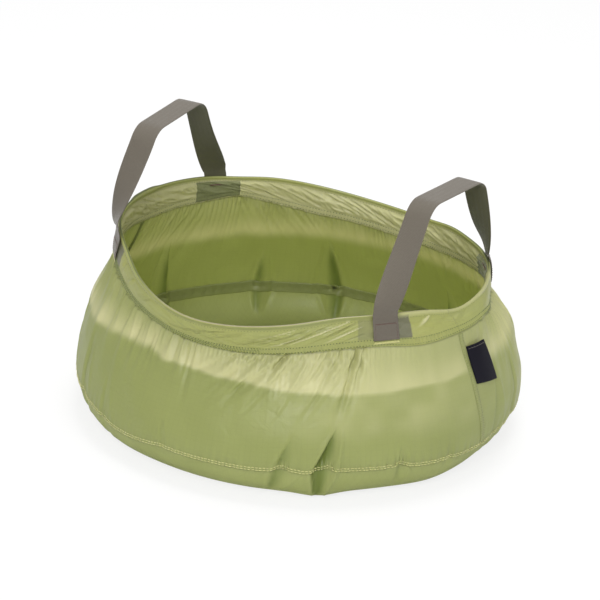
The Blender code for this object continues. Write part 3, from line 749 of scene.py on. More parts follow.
# %% [markdown]
# ## Thread and wire
# Sewing thread is twisted from plies, so it shows fine slanted bands. The hoop's wire and the tube
# that joins its ends are drawn steel, with streaks of tone. Both patterns follow the object's
# own coordinates, because neither piece has texture coordinates that run along it.

# %% Thread and metal
THREAD_COLOURS = {
    "pale": ((0.67, 0.65, 0.27, 1), (0.51, 0.50, 0.19, 1)),
    "green": ((0.34, 0.36, 0.10, 1), (0.22, 0.25, 0.06, 1)),
    "olive": ((0.125, 0.182, 0.020, 1), (0.075, 0.112, 0.010, 1)),
    "brown": ((0.125, 0.055, 0.035, 1), (0.07, 0.03, 0.02, 1)),
    "taupe": ((0.17, 0.15, 0.115, 1), (0.09, 0.08, 0.06, 1)),
}


def thread(name, colour, dark):
    """Twisted thread: fine slanted bands in colour and bump."""
    finish, tree, output = start_material(name)
    place = node(tree, "ShaderNodeTexCoord").outputs["Object"]
    twist = node(tree, "ShaderNodeTexWave", {"Vector": place, "Scale": 900.0, "Distortion": 2.0,
                                             "Detail": 1.0}, bands_direction="DIAGONAL").outputs[1]
    bump = node(tree, "ShaderNodeBump", {"Height": twist, "Strength": 0.4, "Distance": 0.0001})
    face = node(tree, "ShaderNodeBsdfPrincipled", {
        "Base Color": mixed(tree, twist, dark, colour), "Roughness": 0.5,
        "Normal": bump.outputs[0], "Sheen Weight": 0.3})
    tree.links.new(face.outputs[0], output.inputs[0])
    return finish


def brushed(name, colour, roughness):
    """Drawn metal: streaks of roughness and tone round the wire."""
    finish, tree, output = start_material(name)
    place = node(tree, "ShaderNodeTexCoord").outputs["Object"]
    streak = noise(tree, place, 300.0, 3.0)
    face = node(tree, "ShaderNodeBsdfPrincipled", {
        "Base Color": mixed(tree, streak, tuple(0.75 * c for c in colour[:3]) + (1.0,), colour),
        "Metallic": 1.0, "Roughness": sums(tree, "MULTIPLY_ADD", streak, 0.2, roughness - 0.1)})
    tree.links.new(face.outputs[0], output.inputs[0])
    return finish


threads = {key: thread(f"{key}_thread", *tones) for key, tones in THREAD_COLOURS.items()}
wire_metal = brushed("wire_metal", (0.60, 0.60, 0.61, 1.0), 0.32)
crimp_metal = brushed("crimp_metal", (0.70, 0.70, 0.71, 1.0), 0.38)
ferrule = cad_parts["hoop_ferrule"]
ferrule.data.materials.clear()
ferrule.data.materials.append(crimp_metal)
print("threads:", ", ".join(threads))

# %% [markdown]
# ## Stitches
# A seam reads as a seam because of its thread. Each stitch is a small spindle of 36 faces, lying
# along the seam with its ends sunk in the cloth. An array along a curve could repeat one stitch,
# but thousands of objects are slow, so one function lays any number of them from their start and
# end points, all in one mesh.

# %% Stitches
STITCH_RINGS = np.array([-0.86, -0.45, 0.0, 0.45, 0.86])
STITCH_SIDES = 6


def stitches(name, starts, ends, normals, radius, finish):
    """Spindles from start to end: rings of radius r sqrt(1 - x^2), closed by a point each end."""
    middle, half = (starts + ends) / 2.0, (ends - starts) / 2.0
    reach = np.linalg.norm(half, axis=-1, keepdims=True)
    forward = half / reach
    sideways = unit(np.cross(forward, normals))
    lift = np.cross(sideways, forward)
    angle = np.linspace(0.0, 2.0 * math.pi, STITCH_SIDES, endpoint=False)
    x = STITCH_RINGS[:, None]
    fat = radius * np.sqrt(1.0 - x * x)
    arch = radius * (0.55 - 1.1 * x * x)
    side_step = fat * np.cos(angle)
    lift_step = fat * np.sin(angle) + arch
    rings = (middle[:, None, None] + half[:, None, None] * x[..., None]
             + sideways[:, None, None] * side_step[..., None]
             + lift[:, None, None] * lift_step[..., None])
    tips = middle[:, None] + half[:, None] * np.array([-1.0, 1.0])[:, None] - lift[:, None] * 0.6 * radius
    count, per = len(starts), len(STITCH_RINGS) * STITCH_SIDES + 2
    points = np.concatenate([rings.reshape(count, -1, 3), tips], 1)
    base = np.arange((len(STITCH_RINGS) - 1) * STITCH_SIDES).reshape(-1, STITCH_SIDES)
    beside = np.roll(base, -1, 1)
    quads = np.stack([base, base + STITCH_SIDES, beside + STITCH_SIDES, beside], -1).reshape(-1, 4)
    first = np.arange(STITCH_SIDES)
    last = first + (len(STITCH_RINGS) - 1) * STITCH_SIDES
    caps = np.concatenate([
        np.stack([np.full(STITCH_SIDES, per - 2), first, np.roll(first, -1)], -1),
        np.stack([np.full(STITCH_SIDES, per - 1), np.roll(last, -1), last], -1)])
    shift = (np.arange(count) * per)[:, None, None]
    faces = (quads + shift).reshape(-1, 4).tolist() + (caps + shift).reshape(-1, 3).tolist()
    mesh = bpy.data.meshes.new(name)
    mesh.from_pydata(points.reshape(-1, 3).tolist(), [], faces)
    mesh.shade_smooth()
    mesh.materials.append(finish)
    piece = bpy.data.objects.new(name, mesh)
    bpy.context.scene.collection.objects.link(piece)
    return piece


def along_line(points, normals, pitch, fill):
    """Starts, ends and normals of stitches at a pitch along a line of close points."""
    gone = np.append(0.0, np.linalg.norm(np.diff(points, axis=0), axis=-1).cumsum())
    count = max(1, round(gone[-1] / pitch))
    at = (np.arange(count) + 0.5) * gone[-1] / count
    half = fill * gone[-1] / count / 2.0

    def pick(where, field):
        """The field's value at a length along the line."""
        return np.stack([np.interp(where, gone, field[:, i]) for i in range(3)], -1)

    return pick(at - half, points), pick(at + half, points), unit(pick(at, normals))


def zigzag(corner, wide, high, normal, count):
    """Starts, ends and normals of a bartack: count strokes to and fro over a small bar."""
    at = np.linspace(0.0, 1.0, count + 1)[:, None]
    turns = corner + at * wide + (np.arange(count + 1) % 2)[:, None] * high
    return turns[:-1], turns[1:], np.broadcast_to(normal, (count, 3))


print("a stitch has", (len(STITCH_RINGS) - 1) * STITCH_SIDES + 2 * STITCH_SIDES, "faces")

# %% [markdown]
# ## Wall
# Two panels meet at the side seams. They lap over the floor's turned-up edge and reach up
# between the collar's two layers. Above the height to which the bowl was filled, light is painted
# on: a paler band, for light from the mouth shining through the thin cloth. A painted image could
# say where, but it would fit one size only, so each point gets a value from its own height.

# %% Painted light and shade of the wall
LIT_BAND_HEIGHT = 0.0865
LIT_BAND_TILT = 0.028
LIT_BAND_SCALLOP = 0.0020
LIT_BAND_HUMPS = ((-112.0, 18.0, 0.0040), (-48.0, 22.0, -0.0022))
LIT_BAND_FADE_HEIGHT = 0.026


def painted_light_share(points, azimuth, row):
    """Share of painted light. From the fill line up: a streaked band of light shining through the
    cloth, fading upwards, least below the right handle's front end. Under the line: cloudy zones
    of painted light in front and at the right."""
    place = turned(azimuth, 0.0)
    height = points[..., 2] - LIT_BAND_HEIGHT - LIT_BAND_TILT * points[..., 0] - humps(azimuth, LIT_BAND_HUMPS)
    height = height + LIT_BAND_SCALLOP * cloud(azimuth, 0.5, 60, 1.0, STREAK)
    leftwards = ramp(place, -96.0, -112.0)
    soft = 0.0034 + 0.0040 * leftwards + 0.0110 * ramp(place, -16.0, -4.0)
    above = smooth(height / soft + 0.4)
    far_right = ramp(place, 4.0, 16.0) * ramp(place, 60.0, 40.0)
    fading = 0.60 - 0.42 * bell(azimuth, -52.0, 24.0) + 0.22 * leftwards - 0.30 * far_right
    band = 1.0 - fading * ramp(height, 0.0, LIT_BAND_FADE_HEIGHT)
    streaks = cloud(azimuth + 2.0 * row, 0.4 * row, 150, 2.0, STREAK)
    patchy = 0.86 - 0.20 * bell(azimuth, -20.0, 17.0) + (0.14 + 0.34 * leftwards) * streaks
    lower = (0.28 * bell(azimuth, -33.0, 30.0) * ramp(row, 0.18, 0.40)
             + 0.42 * bell(azimuth, 27.0, 12.0) * ramp(row, -0.25, 0.15))
    lower = lower * (0.85 + 0.5 * cloud(azimuth, row, 90, 9.0, CRUMPLE))
    return np.clip(above * band * patchy + (1.0 - above) * lower, 0.0, 1.0)


def pleat_shade_share(azimuth, row):
    """How far a pleat's inside is hidden from the light: its depth over the deepest one."""
    return 0.85 * smooth((pleats_inset(azimuth, row) - 0.0006) / 0.0034)


print("filled to", LIT_BAND_HEIGHT)

# %% [markdown]
# ## Wall panels
# When the basin is folded flat the hoop goes down while the floor stays, so the wall has to
# crumple. A rigid wall would go through the floor. Here each panel is built at rest, and its
# transform is baked into its mesh.

# %% Wall panels
WALL_STEP = 0.3
WALL_ROW_COUNT = 74
WALL_LOW = -0.055
WALL_HIGH = 1.0 + WALL_TUCK / COLLAR_DROP


def flex(piece):
    """Bake a piece's transform into its mesh."""
    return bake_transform(piece)


def cut_size(points):
    """Longest row, mean column and area of a grid of points: what the cloth measures flat."""
    across, along = np.diff(points, axis=0), np.diff(points, axis=1)
    wide = np.linalg.norm(across, axis=-1).sum(0).max()
    high = np.linalg.norm(along, axis=-1).sum(1).mean()
    area = np.linalg.norm(np.cross(across[:, :-1], along[:-1]), axis=-1).sum()
    print("cut about", round(wide, 3), "by", round(high, 3), "area", round(area, 4))
    return wide, high, min(area, wide * high)


for key, start, end in (("front", LEFT_SEAM - 360.0, RIGHT_SEAM), ("rear", RIGHT_SEAM, LEFT_SEAM)):
    columns = np.linspace(start, end, round((end - start) / WALL_STEP) + 1)
    azimuth, row = grid(columns, np.linspace(WALL_LOW, WALL_HIGH, WALL_ROW_COUNT))
    azimuth = slanted(azimuth, row)
    points = bowl(azimuth, row)
    # Painted light in the pale share, painted shade where the top goes under the collar in the seam share,
    # and painted shade inside pleats in the fold share.
    panel = surface(f"{key}_wall_cloth", points, wall_cloth, thickness=CLOTH, values={
        "pale": painted_light_share(points, azimuth, row), "seam": 0.45 * ramp(row, 0.985, 0.995),
        "fold": pleat_shade_share(azimuth, row)})
    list(cut_size(points))
    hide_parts(f"{key}_wall_panel")
    flex(panel)

# %% [markdown]
# ## Floor
# The floor is one round of the same cloth, its edge turned up inside the wall, so it puckers where
# the wall does. It sits a little further in, along the same surface. A disc from the Add menu
# would show flat spokes, so the round is drawn from rings that turn from the puckered edge into
# true circles.

# %% Floor
FLOOR_OUT = -0.0009
ROUND_FROM = 0.72
FLOOR_SWELL = 0.00035
ring_azimuths = np.arange(0.0, 360.0, 0.6)
floor_rows = np.concatenate([np.linspace(-1.0, -0.30, 26), np.linspace(-0.27, wall_rows(SEAM_LAP), 14)])
azimuth, row = grid(ring_azimuths, floor_rows)
turned_up = bowl_out(azimuth, row, np.full(azimuth.shape, FLOOR_OUT))
edge = turned_up[:, 0]
even = np.mean(np.hypot(edge[:, 0], edge[:, 1])) * outward(ring_azimuths)
even[:, 2] = edge[:, 2].mean()
inward = np.linspace(0.02, 1.0, 40)[:-1]
near_edge = ramp(inward, ROUND_FROM, 1.0)[None, :, None]
flat = edge[:, None] * near_edge + even[:, None] * (1.0 - near_edge)
flat[..., :2] *= inward[:, None]
flat[..., 2] += FLOOR_SWELL * (1.0 - inward) * (1.0 + cloud(
    ring_azimuths[:, None], inward[None], 12, 5.0, CRUMPLE))
floor_points = np.concatenate([flat, turned_up], 1)
# The turned-up edge gets painted shade inside the pleats.
floor = surface("floor_cloth", floor_points, floor_cloth, ring=True, thickness=CLOTH, values={
    "fold": np.concatenate([np.zeros(flat.shape[:2]), pleat_shade_share(azimuth, row)], 1)},
    uv=np.concatenate([floor_points, floor_points[:1]])[..., :2])
print("floor of", floor_points.shape[0], "by", floor_points.shape[1], "points")

# %% [markdown]
# ## The middle of the floor
# The rings stop a little short of the middle. Rings that shrink to a point would leave flat,
# useless faces there, so one new vertex and a fan of triangles close the hole.

# %% The middle of the floor
def close_middle(piece, ring, place):
    """A fan of triangles from a new vertex at a place to a ring of vertices."""
    mesh = piece.data
    middle = len(mesh.vertices)
    mesh.vertices.add(1)
    mesh.vertices[middle].co = place
    spokes = np.stack([np.full(len(ring), middle), np.roll(ring, -1), ring], -1)
    first_loop, first_face = len(mesh.loops), len(mesh.polygons)
    mesh.loops.add(spokes.size)
    mesh.polygons.add(len(spokes))
    corners = np.zeros(len(mesh.loops), np.int32)
    mesh.loops.foreach_get("vertex_index", corners)
    corners[first_loop:] = spokes.ravel()
    mesh.loops.foreach_set("vertex_index", corners)
    starts = np.append(np.arange(first_face) * 4, first_loop + 3 * np.arange(len(spokes)))
    mesh.polygons.foreach_set("loop_start", starts.astype(np.int32))
    mesh.update(calc_edges=True)
    mesh.shade_smooth()


close_middle(floor, (np.arange(len(ring_azimuths)) * floor_points.shape[1]).astype(np.int32),
             (0.0, 0.0, float(floor_points[:, 0, 2].mean())))
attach(floor, "base")
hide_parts("floor_panel")
print("floor has", len(floor.data.polygons), "faces")

# %% [markdown]
# ## Floor seam
# A coated tape covers the seam on the inside, and outside two rows of pale thread show it. The
# stitches are real small shapes, because a bump on the wall would have no edge against the light.

# %% Seam tape and stitches of the floor
TAPE_OUT = -0.0016
tape_rows = np.linspace(-wall_rows(SEAM_LAP) * 2.0, wall_rows(SEAM_LAP), 14)
azimuth, row = grid(ring_azimuths, tape_rows)
tape = surface("floor_seam_tape_cloth", bowl_out(azimuth, row, np.full(azimuth.shape, TAPE_OUT)),
               floor_cloth, ring=True, thickness=CLOTH, values={"seam": 0.22})
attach(tape, "base")
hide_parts("floor_seam_tape")

SEAM_ROWS = (-0.024, 0.0105)
dense = np.arange(0.0, 360.0, 0.25)
for number, seam_row in enumerate(SEAM_ROWS):
    place, normal, _ = bowl_frame(dense, np.full(dense.shape, seam_row))
    line = place + normal * (CLOTH / 2.0)
    made = stitches(f"floor_seam_stitches_{number + 1}", *along_line(line, normal, 0.0030, 0.90),
                    0.00037, threads["pale"])
    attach(made, "base")
print("floor seam", round(2 * math.pi * FLOOR_SEAM_RADIUS, 3), "round")

# %% [markdown]
# ## Collar
# One strip of cloth is folded over the hoop. Its profile goes up the outside, close to the wall
# where it is stitched, puffs out a little, is pinched in again by the row of stitches that makes
# the wire's channel, runs round the wire, and comes down the inside the same way. A curve with a
# bevel could give the profile, but not the crumples and pulled creases that move each side, so
# the profile is carried round the hoop as a grid.

# %% Creases of the collar
# azimuth and row at the top, azimuth and row at the bottom, width in degrees, depth
COLLAR_LINES = np.array([
    (-42.5, 1.90, -62.0, 1.10, 1.0, 0.0020),
    (-43.0, 1.70, -57.0, 1.12, 0.9, -0.0017),
    (-42.5, 1.45, -52.0, 1.12, 0.8, 0.0016),
    (-46.0, 1.90, -70.0, 1.18, 1.0, -0.0017),
    (-50.0, 1.92, -72.0, 1.10, 1.0, 0.0018),
    (-54.0, 1.75, -76.0, 1.10, 0.9, -0.0014),
    (-57.0, 1.85, -80.0, 1.15, 1.0, 0.0016),
    (-62.0, 1.85, -86.0, 1.30, 1.0, -0.0014),
    (-68.0, 1.60, -88.0, 1.10, 1.1, 0.0014),
    (-73.0, 1.88, -96.0, 1.30, 1.0, -0.0014),
    (-80.0, 1.85, -104.0, 1.40, 1.2, 0.0014),
    (-90.0, 1.60, -112.0, 1.20, 1.2, 0.0012),
    (-20.5, 1.86, -27.0, 1.42, 1.1, -0.0013),
    (-12.0, 1.85, -22.0, 1.20, 2.4, 0.0009),
    (-4.0, 1.85, -12.0, 1.15, 2.6, 0.0010),
    (-112.0, 1.80, -119.0, 1.20, 1.0, 0.0013),
    (-122.0, 1.75, -127.0, 1.20, 1.0, -0.0013),
    (-130.0, 1.85, -133.0, 1.20, 0.9, 0.0012),
    (-146.0, 1.85, -152.0, 1.15, 1.0, 0.0013),
])
print(len(COLLAR_LINES), "creases of the collar")

# %% [markdown]
# ## The collar's two layers
# Both layers are held at the seam and at the wire's channel, and between these rows they stand
# off each other. There thin coated cloth crumples into flat facets with sharp ridges, which a
# soft noise would turn into bubbles, so the ridges are where a random field crosses zero.

# %% The collar's two layers
CHANNEL_UP = 1.0 - 0.0027 / COLLAR_DROP
SEWN_IN, PUFF_OUTSIDE, PUFF_INSIDE = 0.00055, 0.00115, 0.00085
CRUMPLE_DEPTH, FINE_CRUMPLE_DEPTH = 0.00065, 0.00040


def collar_out(over, side):
    """How far a layer stands off the middle, by how far it is up the collar, 0 to 1."""
    puff = np.sin(np.clip((over - 0.16) / (CHANNEL_UP - 0.16), 0.0, 1.0) * math.pi) ** 0.8
    return SEWN_IN + (PUFF_OUTSIDE if side > 0 else PUFF_INSIDE) * puff


def facets(azimuth, over, turns, per_row, table, shear):
    """Cloth crumples into flat facets with sharp ridges: one less twice the size of a field."""
    return 1.0 - 2.0 * abs(cloud(azimuth + shear * over, over, turns, per_row, table))


def collar_side(azimuth, over, side):
    """Points of one layer: off the middle by its own distance, with crumples and seam puckers,
    less its creases. The inside is crumpled all round, the outside mostly in front."""
    free = ramp(over, 0.20, 0.32) * ramp(over, CHANNEL_UP, CHANNEL_UP - 0.14)
    if side > 0:
        seed, free_size = 0.0, free * (0.30 + 0.70 * bell(azimuth, -68.0, 34.0))
    else:
        seed, free_size = 90.0, free * 1.5
    out = collar_out(over, side)
    out = out + CRUMPLE_DEPTH * free_size * facets(azimuth + seed, over, 90, 2.6, CRUMPLE, 30.0 * side)
    out = out + FINE_CRUMPLE_DEPTH * free_size * facets(
        azimuth + seed, over, 240, 5.0, FINE_CRUMPLE, -12.0)
    seam = np.exp(-((over - 0.135) / 0.085) ** 2)
    out = out + 0.00045 * (1.0 + pucker_wave(azimuth, 1.2)) * seam
    if side > 0:
        out = out - lines_inset(azimuth, 1.0 + over, COLLAR_LINES) * free
    return bowl_out(azimuth, 1.0 + over, side * out)


def round_hoop(azimuths, radius, angles):
    """Points round the hoop's line, at angles that start straight out and turn upwards."""
    hoop, normal, upward = bowl_frame(azimuths, np.full(azimuths.shape, 2.0))
    return np.stack([hoop + radius * (normal * math.cos(a) + upward * math.sin(a)) for a in angles], 1)


print("the wire's channel starts", round(CHANNEL_UP, 3), "of the way up the collar")

# %% [markdown]
# ## What shows through the collar, and its painted light and shade
# The cloth is thin: a dark patch behind it shows as a dull square. Light and shade are painted on
# too: shade where the cloth is doubled at the seams and round the bead, paler light through the
# inner layer and on the ridges of the creases, and a highlight on the crest over the wire in front.
# A second material for each would end in hard borders, so each point notes a share of each colour.

# %% What shows through the collar
# azimuth of the middle of each sewn end
anchors = {("right", "front"): -35.7, ("right", "rear"): 38.8, ("left", "front"): 217.2,
           ("left", "rear"): 151.0}
PATCH_HALF = degrees_of(0.042 / 2.0)
NEAR_SIDE = -60.0
legs = np.linspace(0.0, CHANNEL_UP, 30)
bead_angles = np.radians(np.linspace(-20.0, 200.0, 17))


def under_patch(azimuth, over):
    """1 where a patch lies behind the cloth, a little weaker towards its left, with sharp edges."""
    masked = np.zeros(azimuth.shape)
    for anchor in anchors.values():
        from_middle = turned(azimuth, anchor)
        band = smooth((PATCH_HALF - abs(from_middle)) / 0.15 + 0.5)
        masked = np.maximum(masked, band * (0.72 + 0.28 * np.tanh(from_middle / 2.0)))
    return masked * ramp(over, 0.235, 0.255)


def joined(outer, bead, inner, columns):
    """Values of the outer layer, of the bead round the wire and of the inner layer, in one grid."""
    parts = ((outer, len(legs)), (bead, len(bead_angles)), (inner, len(legs)))
    return np.concatenate([np.broadcast_to(part, (columns, size)) for part, size in parts], 1)


def collar_values(azimuth, over, columns):
    """Shares of painted light, of a patch showing through, of painted shade and of the bead's painted
    highlight for each point of a strip.
    """
    place, around, upper = turned(azimuth, 0.0), turned(columns, 0.0)[:, None], np.sin(bead_angles)
    left_side = ramp(place, -75.0, -100.0) * ramp(turned(azimuth, -165.0), -20.0, -15.0)
    # Painted shade on the outer layer between its seam rows, stronger where the zigzag is.
    seam = (0.06 + 0.08 * left_side) * ramp(over, 0.26, 0.23)
    thick = 0.14 + 0.05 * cloud(azimuth, 0.5, 30, 1.0, STREAK)
    # Painted shade along the inner layer's seam.
    inner_seam_shade = 0.05 * smooth((thick - over) / 0.03)
    # Painted highlight: the raised ridges of the creases in front are paler, as sheen.
    ridges = ramp(-lines_inset(azimuth, 1.0 + over, COLLAR_LINES), 0.00015, 0.00115)
    highlight_zone = ramp(place, -76.0, -64.0) * ramp(place, 10.0, 0.0) * ramp(over, 0.26, 0.32)
    right_end = ramp(around, -33.0, -29.0) * ramp(around, 32.0, 24.0)
    near_side = smooth(2.0 * np.cos(np.radians(columns - NEAR_SIDE)) - 0.9)[:, None]
    # Painted highlight on the bead's crest on the near side.
    bead_highlight = near_side * ramp(upper, 0.76, 0.92)
    near_side = near_side * (1.0 - right_end)
    far_side = 1.0 - near_side - right_end
    # Painted shadow under the bead on the near side, and on top of it on the far side.
    bead_shadow = 0.34 * near_side * ramp(upper, 0.70, 0.50) + 0.85 * far_side * ramp(upper, 0.75, 0.95)
    count = len(columns)
    # The pale share is painted light: sheen on the creases' ridges in front, a highlight on the bead at the
    # right, and light through the inner layer.
    return {"pale": joined(0.95 * highlight_zone * ridges, 0.55 * right_end, 0.84, count),
            "masked": joined(0.80 * under_patch(azimuth, over), 0.0, 0.0, count),
            "seam": joined(seam, bead_shadow, inner_seam_shade[:, ::-1], count),
            "bead_highlight": joined(0.0, bead_highlight, 0.0, count)}


print("a patch covers", round(2.0 * PATCH_HALF, 1), "degrees of the rim")

# %% [markdown]
# ## Collar strips
# Each half of the strip is one piece, from one side seam to the other. The bead is a little thicker
# at the left seam, over the tube that joins the wire's ends. Both halves come from one loop, so
# that their edges meet point by point.

# %% Collar strips
COLLAR_STEP = 0.4
WIRE_BEAD = 0.00128
FERRULE_BEAD = 0.0024
for key, start, end in (("front", LEFT_SEAM - 360.0, RIGHT_SEAM + SEAM_SLANT),
                        ("rear", RIGHT_SEAM + SEAM_SLANT, LEFT_SEAM)):
    columns = np.linspace(start, end, round((end - start) / COLLAR_STEP) + 1)
    azimuth, over = grid(columns, legs)
    ferrule_near = ramp(abs(turned(columns, LEFT_SEAM)), 10.4, 4.4)
    radius = WIRE_BEAD + (FERRULE_BEAD - WIRE_BEAD) * ferrule_near
    bead = round_hoop(columns, radius[:, None], bead_angles)
    inner = collar_side(azimuth, over, -1.0)[:, ::-1]
    points = np.concatenate([collar_side(azimuth, over, 1.0), bead, inner], 1)
    strip = surface(f"{key}_collar_cloth", points, collar_cloth, thickness=CLOTH,
                    values=collar_values(azimuth, over, columns))
    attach(strip, "rim")
    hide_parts(f"{key}_collar")
    wide, high, area = cut_size(points)

# %% [markdown]
# ## Collar stitches
# Two rows hold each layer of the collar to the wall and one row closes the wire's channel. On the
# left a fine zigzag between the two outer rows keeps the raw edge from fraying.

# %% Collar stitches
# how far up the collar, outside or inside, pitch, radius and colour of the thread
COLLAR_ROWS = {
    "outer_low": (0.045, 1.0, 0.0024, 0.00034, "olive"),
    "outer_high": (0.225, 1.0, 0.0024, 0.00034, "olive"),
    "inner_low": (0.06, -1.0, 0.0026, 0.00024, "olive"),
    "inner_high": (0.20, -1.0, 0.0026, 0.00024, "olive"),
    "channel_outside": (CHANNEL_UP, 1.0, 0.0026, 0.00022, "green"),
    "channel_inside": (CHANNEL_UP, -1.0, 0.0026, 0.00022, "green"),
}
for key, (over, side, pitch, radius, colour) in COLLAR_ROWS.items():
    line = collar_side(dense, np.full(dense.shape, over), side)
    normal = side * bowl_frame(dense, np.full(dense.shape, 1.0 + over))[1]
    made = stitches(f"collar_stitches_{key}", *along_line(line + normal * CLOTH / 2.0, normal, pitch, 0.52),
                    radius, threads[colour])
    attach(made, "rim")

HATCH_FIRST, HATCH_LAST = -168.0, -72.0
HATCH_PITCH = 0.00125
hatch = np.arange(HATCH_FIRST, HATCH_LAST, degrees_of(HATCH_PITCH))
hatch_over = np.where(np.arange(len(hatch)) % 2, 0.075, 0.195)
normal = bowl_frame(hatch, 1.0 + hatch_over)[1]
turns = collar_side(hatch, hatch_over, 1.0) + normal * CLOTH / 2.0
made = stitches("collar_hatching", turns[:-1], turns[1:], normal[:-1], 0.00019, threads["olive"])
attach(made, "rim")
print(len(COLLAR_ROWS), "rows and", len(hatch) - 1, "strokes of zigzag")

# %% [markdown]
# ## Hoop
# A spring wire, hidden in the collar's channel, holds the mouth open and carries all the tension
# of the handles. A torus would lie flat, so a small circle is carried along the same line as the
# bead of cloth round it.

# %% Hoop
WIRE_RADIUS = 0.0010
WIRE_SIDES = 12
round_angles = np.linspace(0.0, 2.0 * math.pi, WIRE_SIDES + 1)
wire_points = round_hoop(np.arange(0.0, 360.0, 0.8), WIRE_RADIUS, round_angles)
wire = surface("rim_wire", wire_points, wire_metal, ring=True)
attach(wire, "rim")
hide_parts("rim_hoop")
print("hoop wire", 2 * WIRE_RADIUS, "thick")

# %% [markdown]
# ## Side seams
# Where the wall panels meet, their edges are folded to one side and stitched down: a narrow
# raised band outside and a darker tape inside. The band could be a bump in the wall's material,
# but it catches the light along both edges, so it is a strip with a crown of its own.

# %% Side seams
BAND_HALF = degrees_of(0.0021)
BAND_OUT = 0.00022
BAND_CROWN = 0.00038
TAPE_HALF = degrees_of(0.0032)
EDGE_SHARE = 0.62


def side_strip(name, seam, half, out, crown, rows, values):
    """Strip along a side seam, lifted across it by out + crown (1 - x^4)."""
    share = np.linspace(-1.0, 1.0, 9)
    azimuth, row = grid(seam + half * share, rows)
    lift = np.broadcast_to((out + crown * (1.0 - share**4))[:, None], azimuth.shape)
    strip = surface(name, bowl_out(slanted(azimuth, row), row, lift), wall_cloth, thickness=CLOTH,
                    values=values)
    flex(strip)
    return strip


for side, seam in (("right", RIGHT_SEAM), ("left", LEFT_SEAM)):
    # The band gets a little painted light and a little painted shade.
    band = side_strip(f"{side}_seam_band", seam, BAND_HALF, BAND_OUT, BAND_CROWN,
                      np.linspace(0.02, 0.985, 90), {"pale": 0.10, "seam": 0.10})
    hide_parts(f"{side}_side_seam")
    side_strip(f"{side}_seam_tape_inside", seam, TAPE_HALF, -0.00045, -0.0004,
               np.linspace(0.10, 0.985, 90), {"seam": 0.42})
    for number, edge_share in enumerate((-EDGE_SHARE, EDGE_SHARE)):
        rows = np.linspace(0.05, 0.98, 400)
        azimuths = slanted(np.full(rows.shape, seam + BAND_HALF * edge_share), rows)
        place, normal, _ = bowl_frame(azimuths, rows)
        line = place + normal * (BAND_OUT + BAND_CROWN * (1.0 - edge_share**4) + CLOTH / 2.0)
        made = stitches(f"{side}_seam_stitches_{number + 1}", *along_line(line, normal, 0.0024, 0.6),
                        0.00022, threads["green"])
        flex(made)
print("side seams at", RIGHT_SEAM, "and", LEFT_SEAM)

# %% [markdown]
# ## Label
# A black woven strip is folded on itself, with its two ends caught in the right seam, so its free
# edge is a round fold that stands off the wall. It is bare here. Two flat planes would look like
# card, so the layers bow a little and close along the fold.

# %% Label
LABEL_CLOTH = 0.00035
# azimuth, row and distance from the wall of the corners: free edge and seam, above, then below
LABEL_CORNERS = ((-10.1, 0.862, 0.0012), (-2.8, 0.862, 0.0034), (-7.6, 0.550, 0.0012), (0.0, 0.530, 0.0032))
LABEL_BOW = 0.0016
LABEL_CURVE = 0.0011
LABEL_GAP = 0.0008
corners = np.array([bowl_out(*np.array(corner)[:, None])[0] for corner in LABEL_CORNERS])
across, down = grid(np.linspace(0.0, 1.0, 26), np.linspace(0.0, 1.0, 34))
weights = np.stack([(1 - across) * (1 - down), across * (1 - down), (1 - across) * down, across * down], -1)
facing = unit(np.cross(corners[2] - corners[0], corners[1] - corners[0]))
bow = LABEL_BOW * (np.sin(across * math.pi) + 0.5 * np.sin(down * math.pi))
front_layer = weights @ corners + facing * bow[..., None]
edge_step = unit(corners[0] - corners[1]) * LABEL_CURVE
front_layer = front_layer + edge_step * (np.sin(down * math.pi) * (1 - across))[..., None]
gap = LABEL_GAP * np.sqrt(np.clip(1.0 - across**8, 0.0, 1.0)) + 0.00002
rear_layer = (front_layer - facing * gap[..., None])[::-1]
label = surface("seam_label", np.concatenate([front_layer, rear_layer[1:]]), label_cloth,
                thickness=LABEL_CLOTH)
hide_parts("side_label")
flex(label)
line = front_layer[1:-1, 2]
normals = np.broadcast_to(facing, line.shape)
made = stitches("label_edge", *along_line(line + normals * LABEL_CLOTH / 2, normals, 0.0010, 0.9),
                0.00018, threads["taupe"])
flex(made)
print("label", round(float(np.linalg.norm(corners[1] - corners[0])), 4), "by",
      round(float(np.linalg.norm(corners[2] - corners[0])), 4))

# %% [markdown]
# ## Reinforcement patches
# Each handle end pulls on the collar's thin cloth, so a square of tougher cloth lies behind it on
# the inside, held by the collar's own seams and by the bartacks that go through everything. It is
# a copy of the inner layer's crumpled surface, a little further in, so that the two never cross.

# %% Patches
PATCH_CLOTH = 0.0004
BAR_HALF, BAR_ROW, BAR_OUT, BAR_HEIGHT = 0.0075, 1.66, -0.0021, 0.0016
for (side, end), anchor in anchors.items():
    azimuth, over = grid(anchor + PATCH_HALF * np.linspace(-1.0, 1.0, 40),
                         np.linspace(0.06, CHANNEL_UP - 0.03, 26))
    _, normal, _ = bowl_frame(azimuth, 1.0 + over)
    behind = 0.00045 + 0.00018 * cloud(azimuth, over, 240, 6.0, FINE_CRUMPLE)
    square = surface(f"{end}_{side}_patch_cloth",
                     (collar_side(azimuth, over, -1.0) - normal * behind[..., None])[::-1],
                     patch_cloth, thickness=PATCH_CLOTH)
    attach(square, "rim")
    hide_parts(f"{end}_{side}_patch")
    bar_ends = anchor + degrees_of(BAR_HALF) * np.array([-1.0, 1.0])
    corner, far = bowl_out(bar_ends, np.full(2, BAR_ROW), np.full(2, BAR_OUT))
    _, normal, upward = (x[0] for x in bowl_frame(np.array([anchor]), np.array([BAR_ROW])))
    made = stitches(f"{end}_{side}_bartack_inside",
                    *zigzag(corner, far - corner, upward * BAR_HEIGHT, -normal, 34), 0.00026,
                    threads["brown"])
    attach(made, "rim")
print("patches at", sorted(round(a % 360.0) for a in anchors.values()))

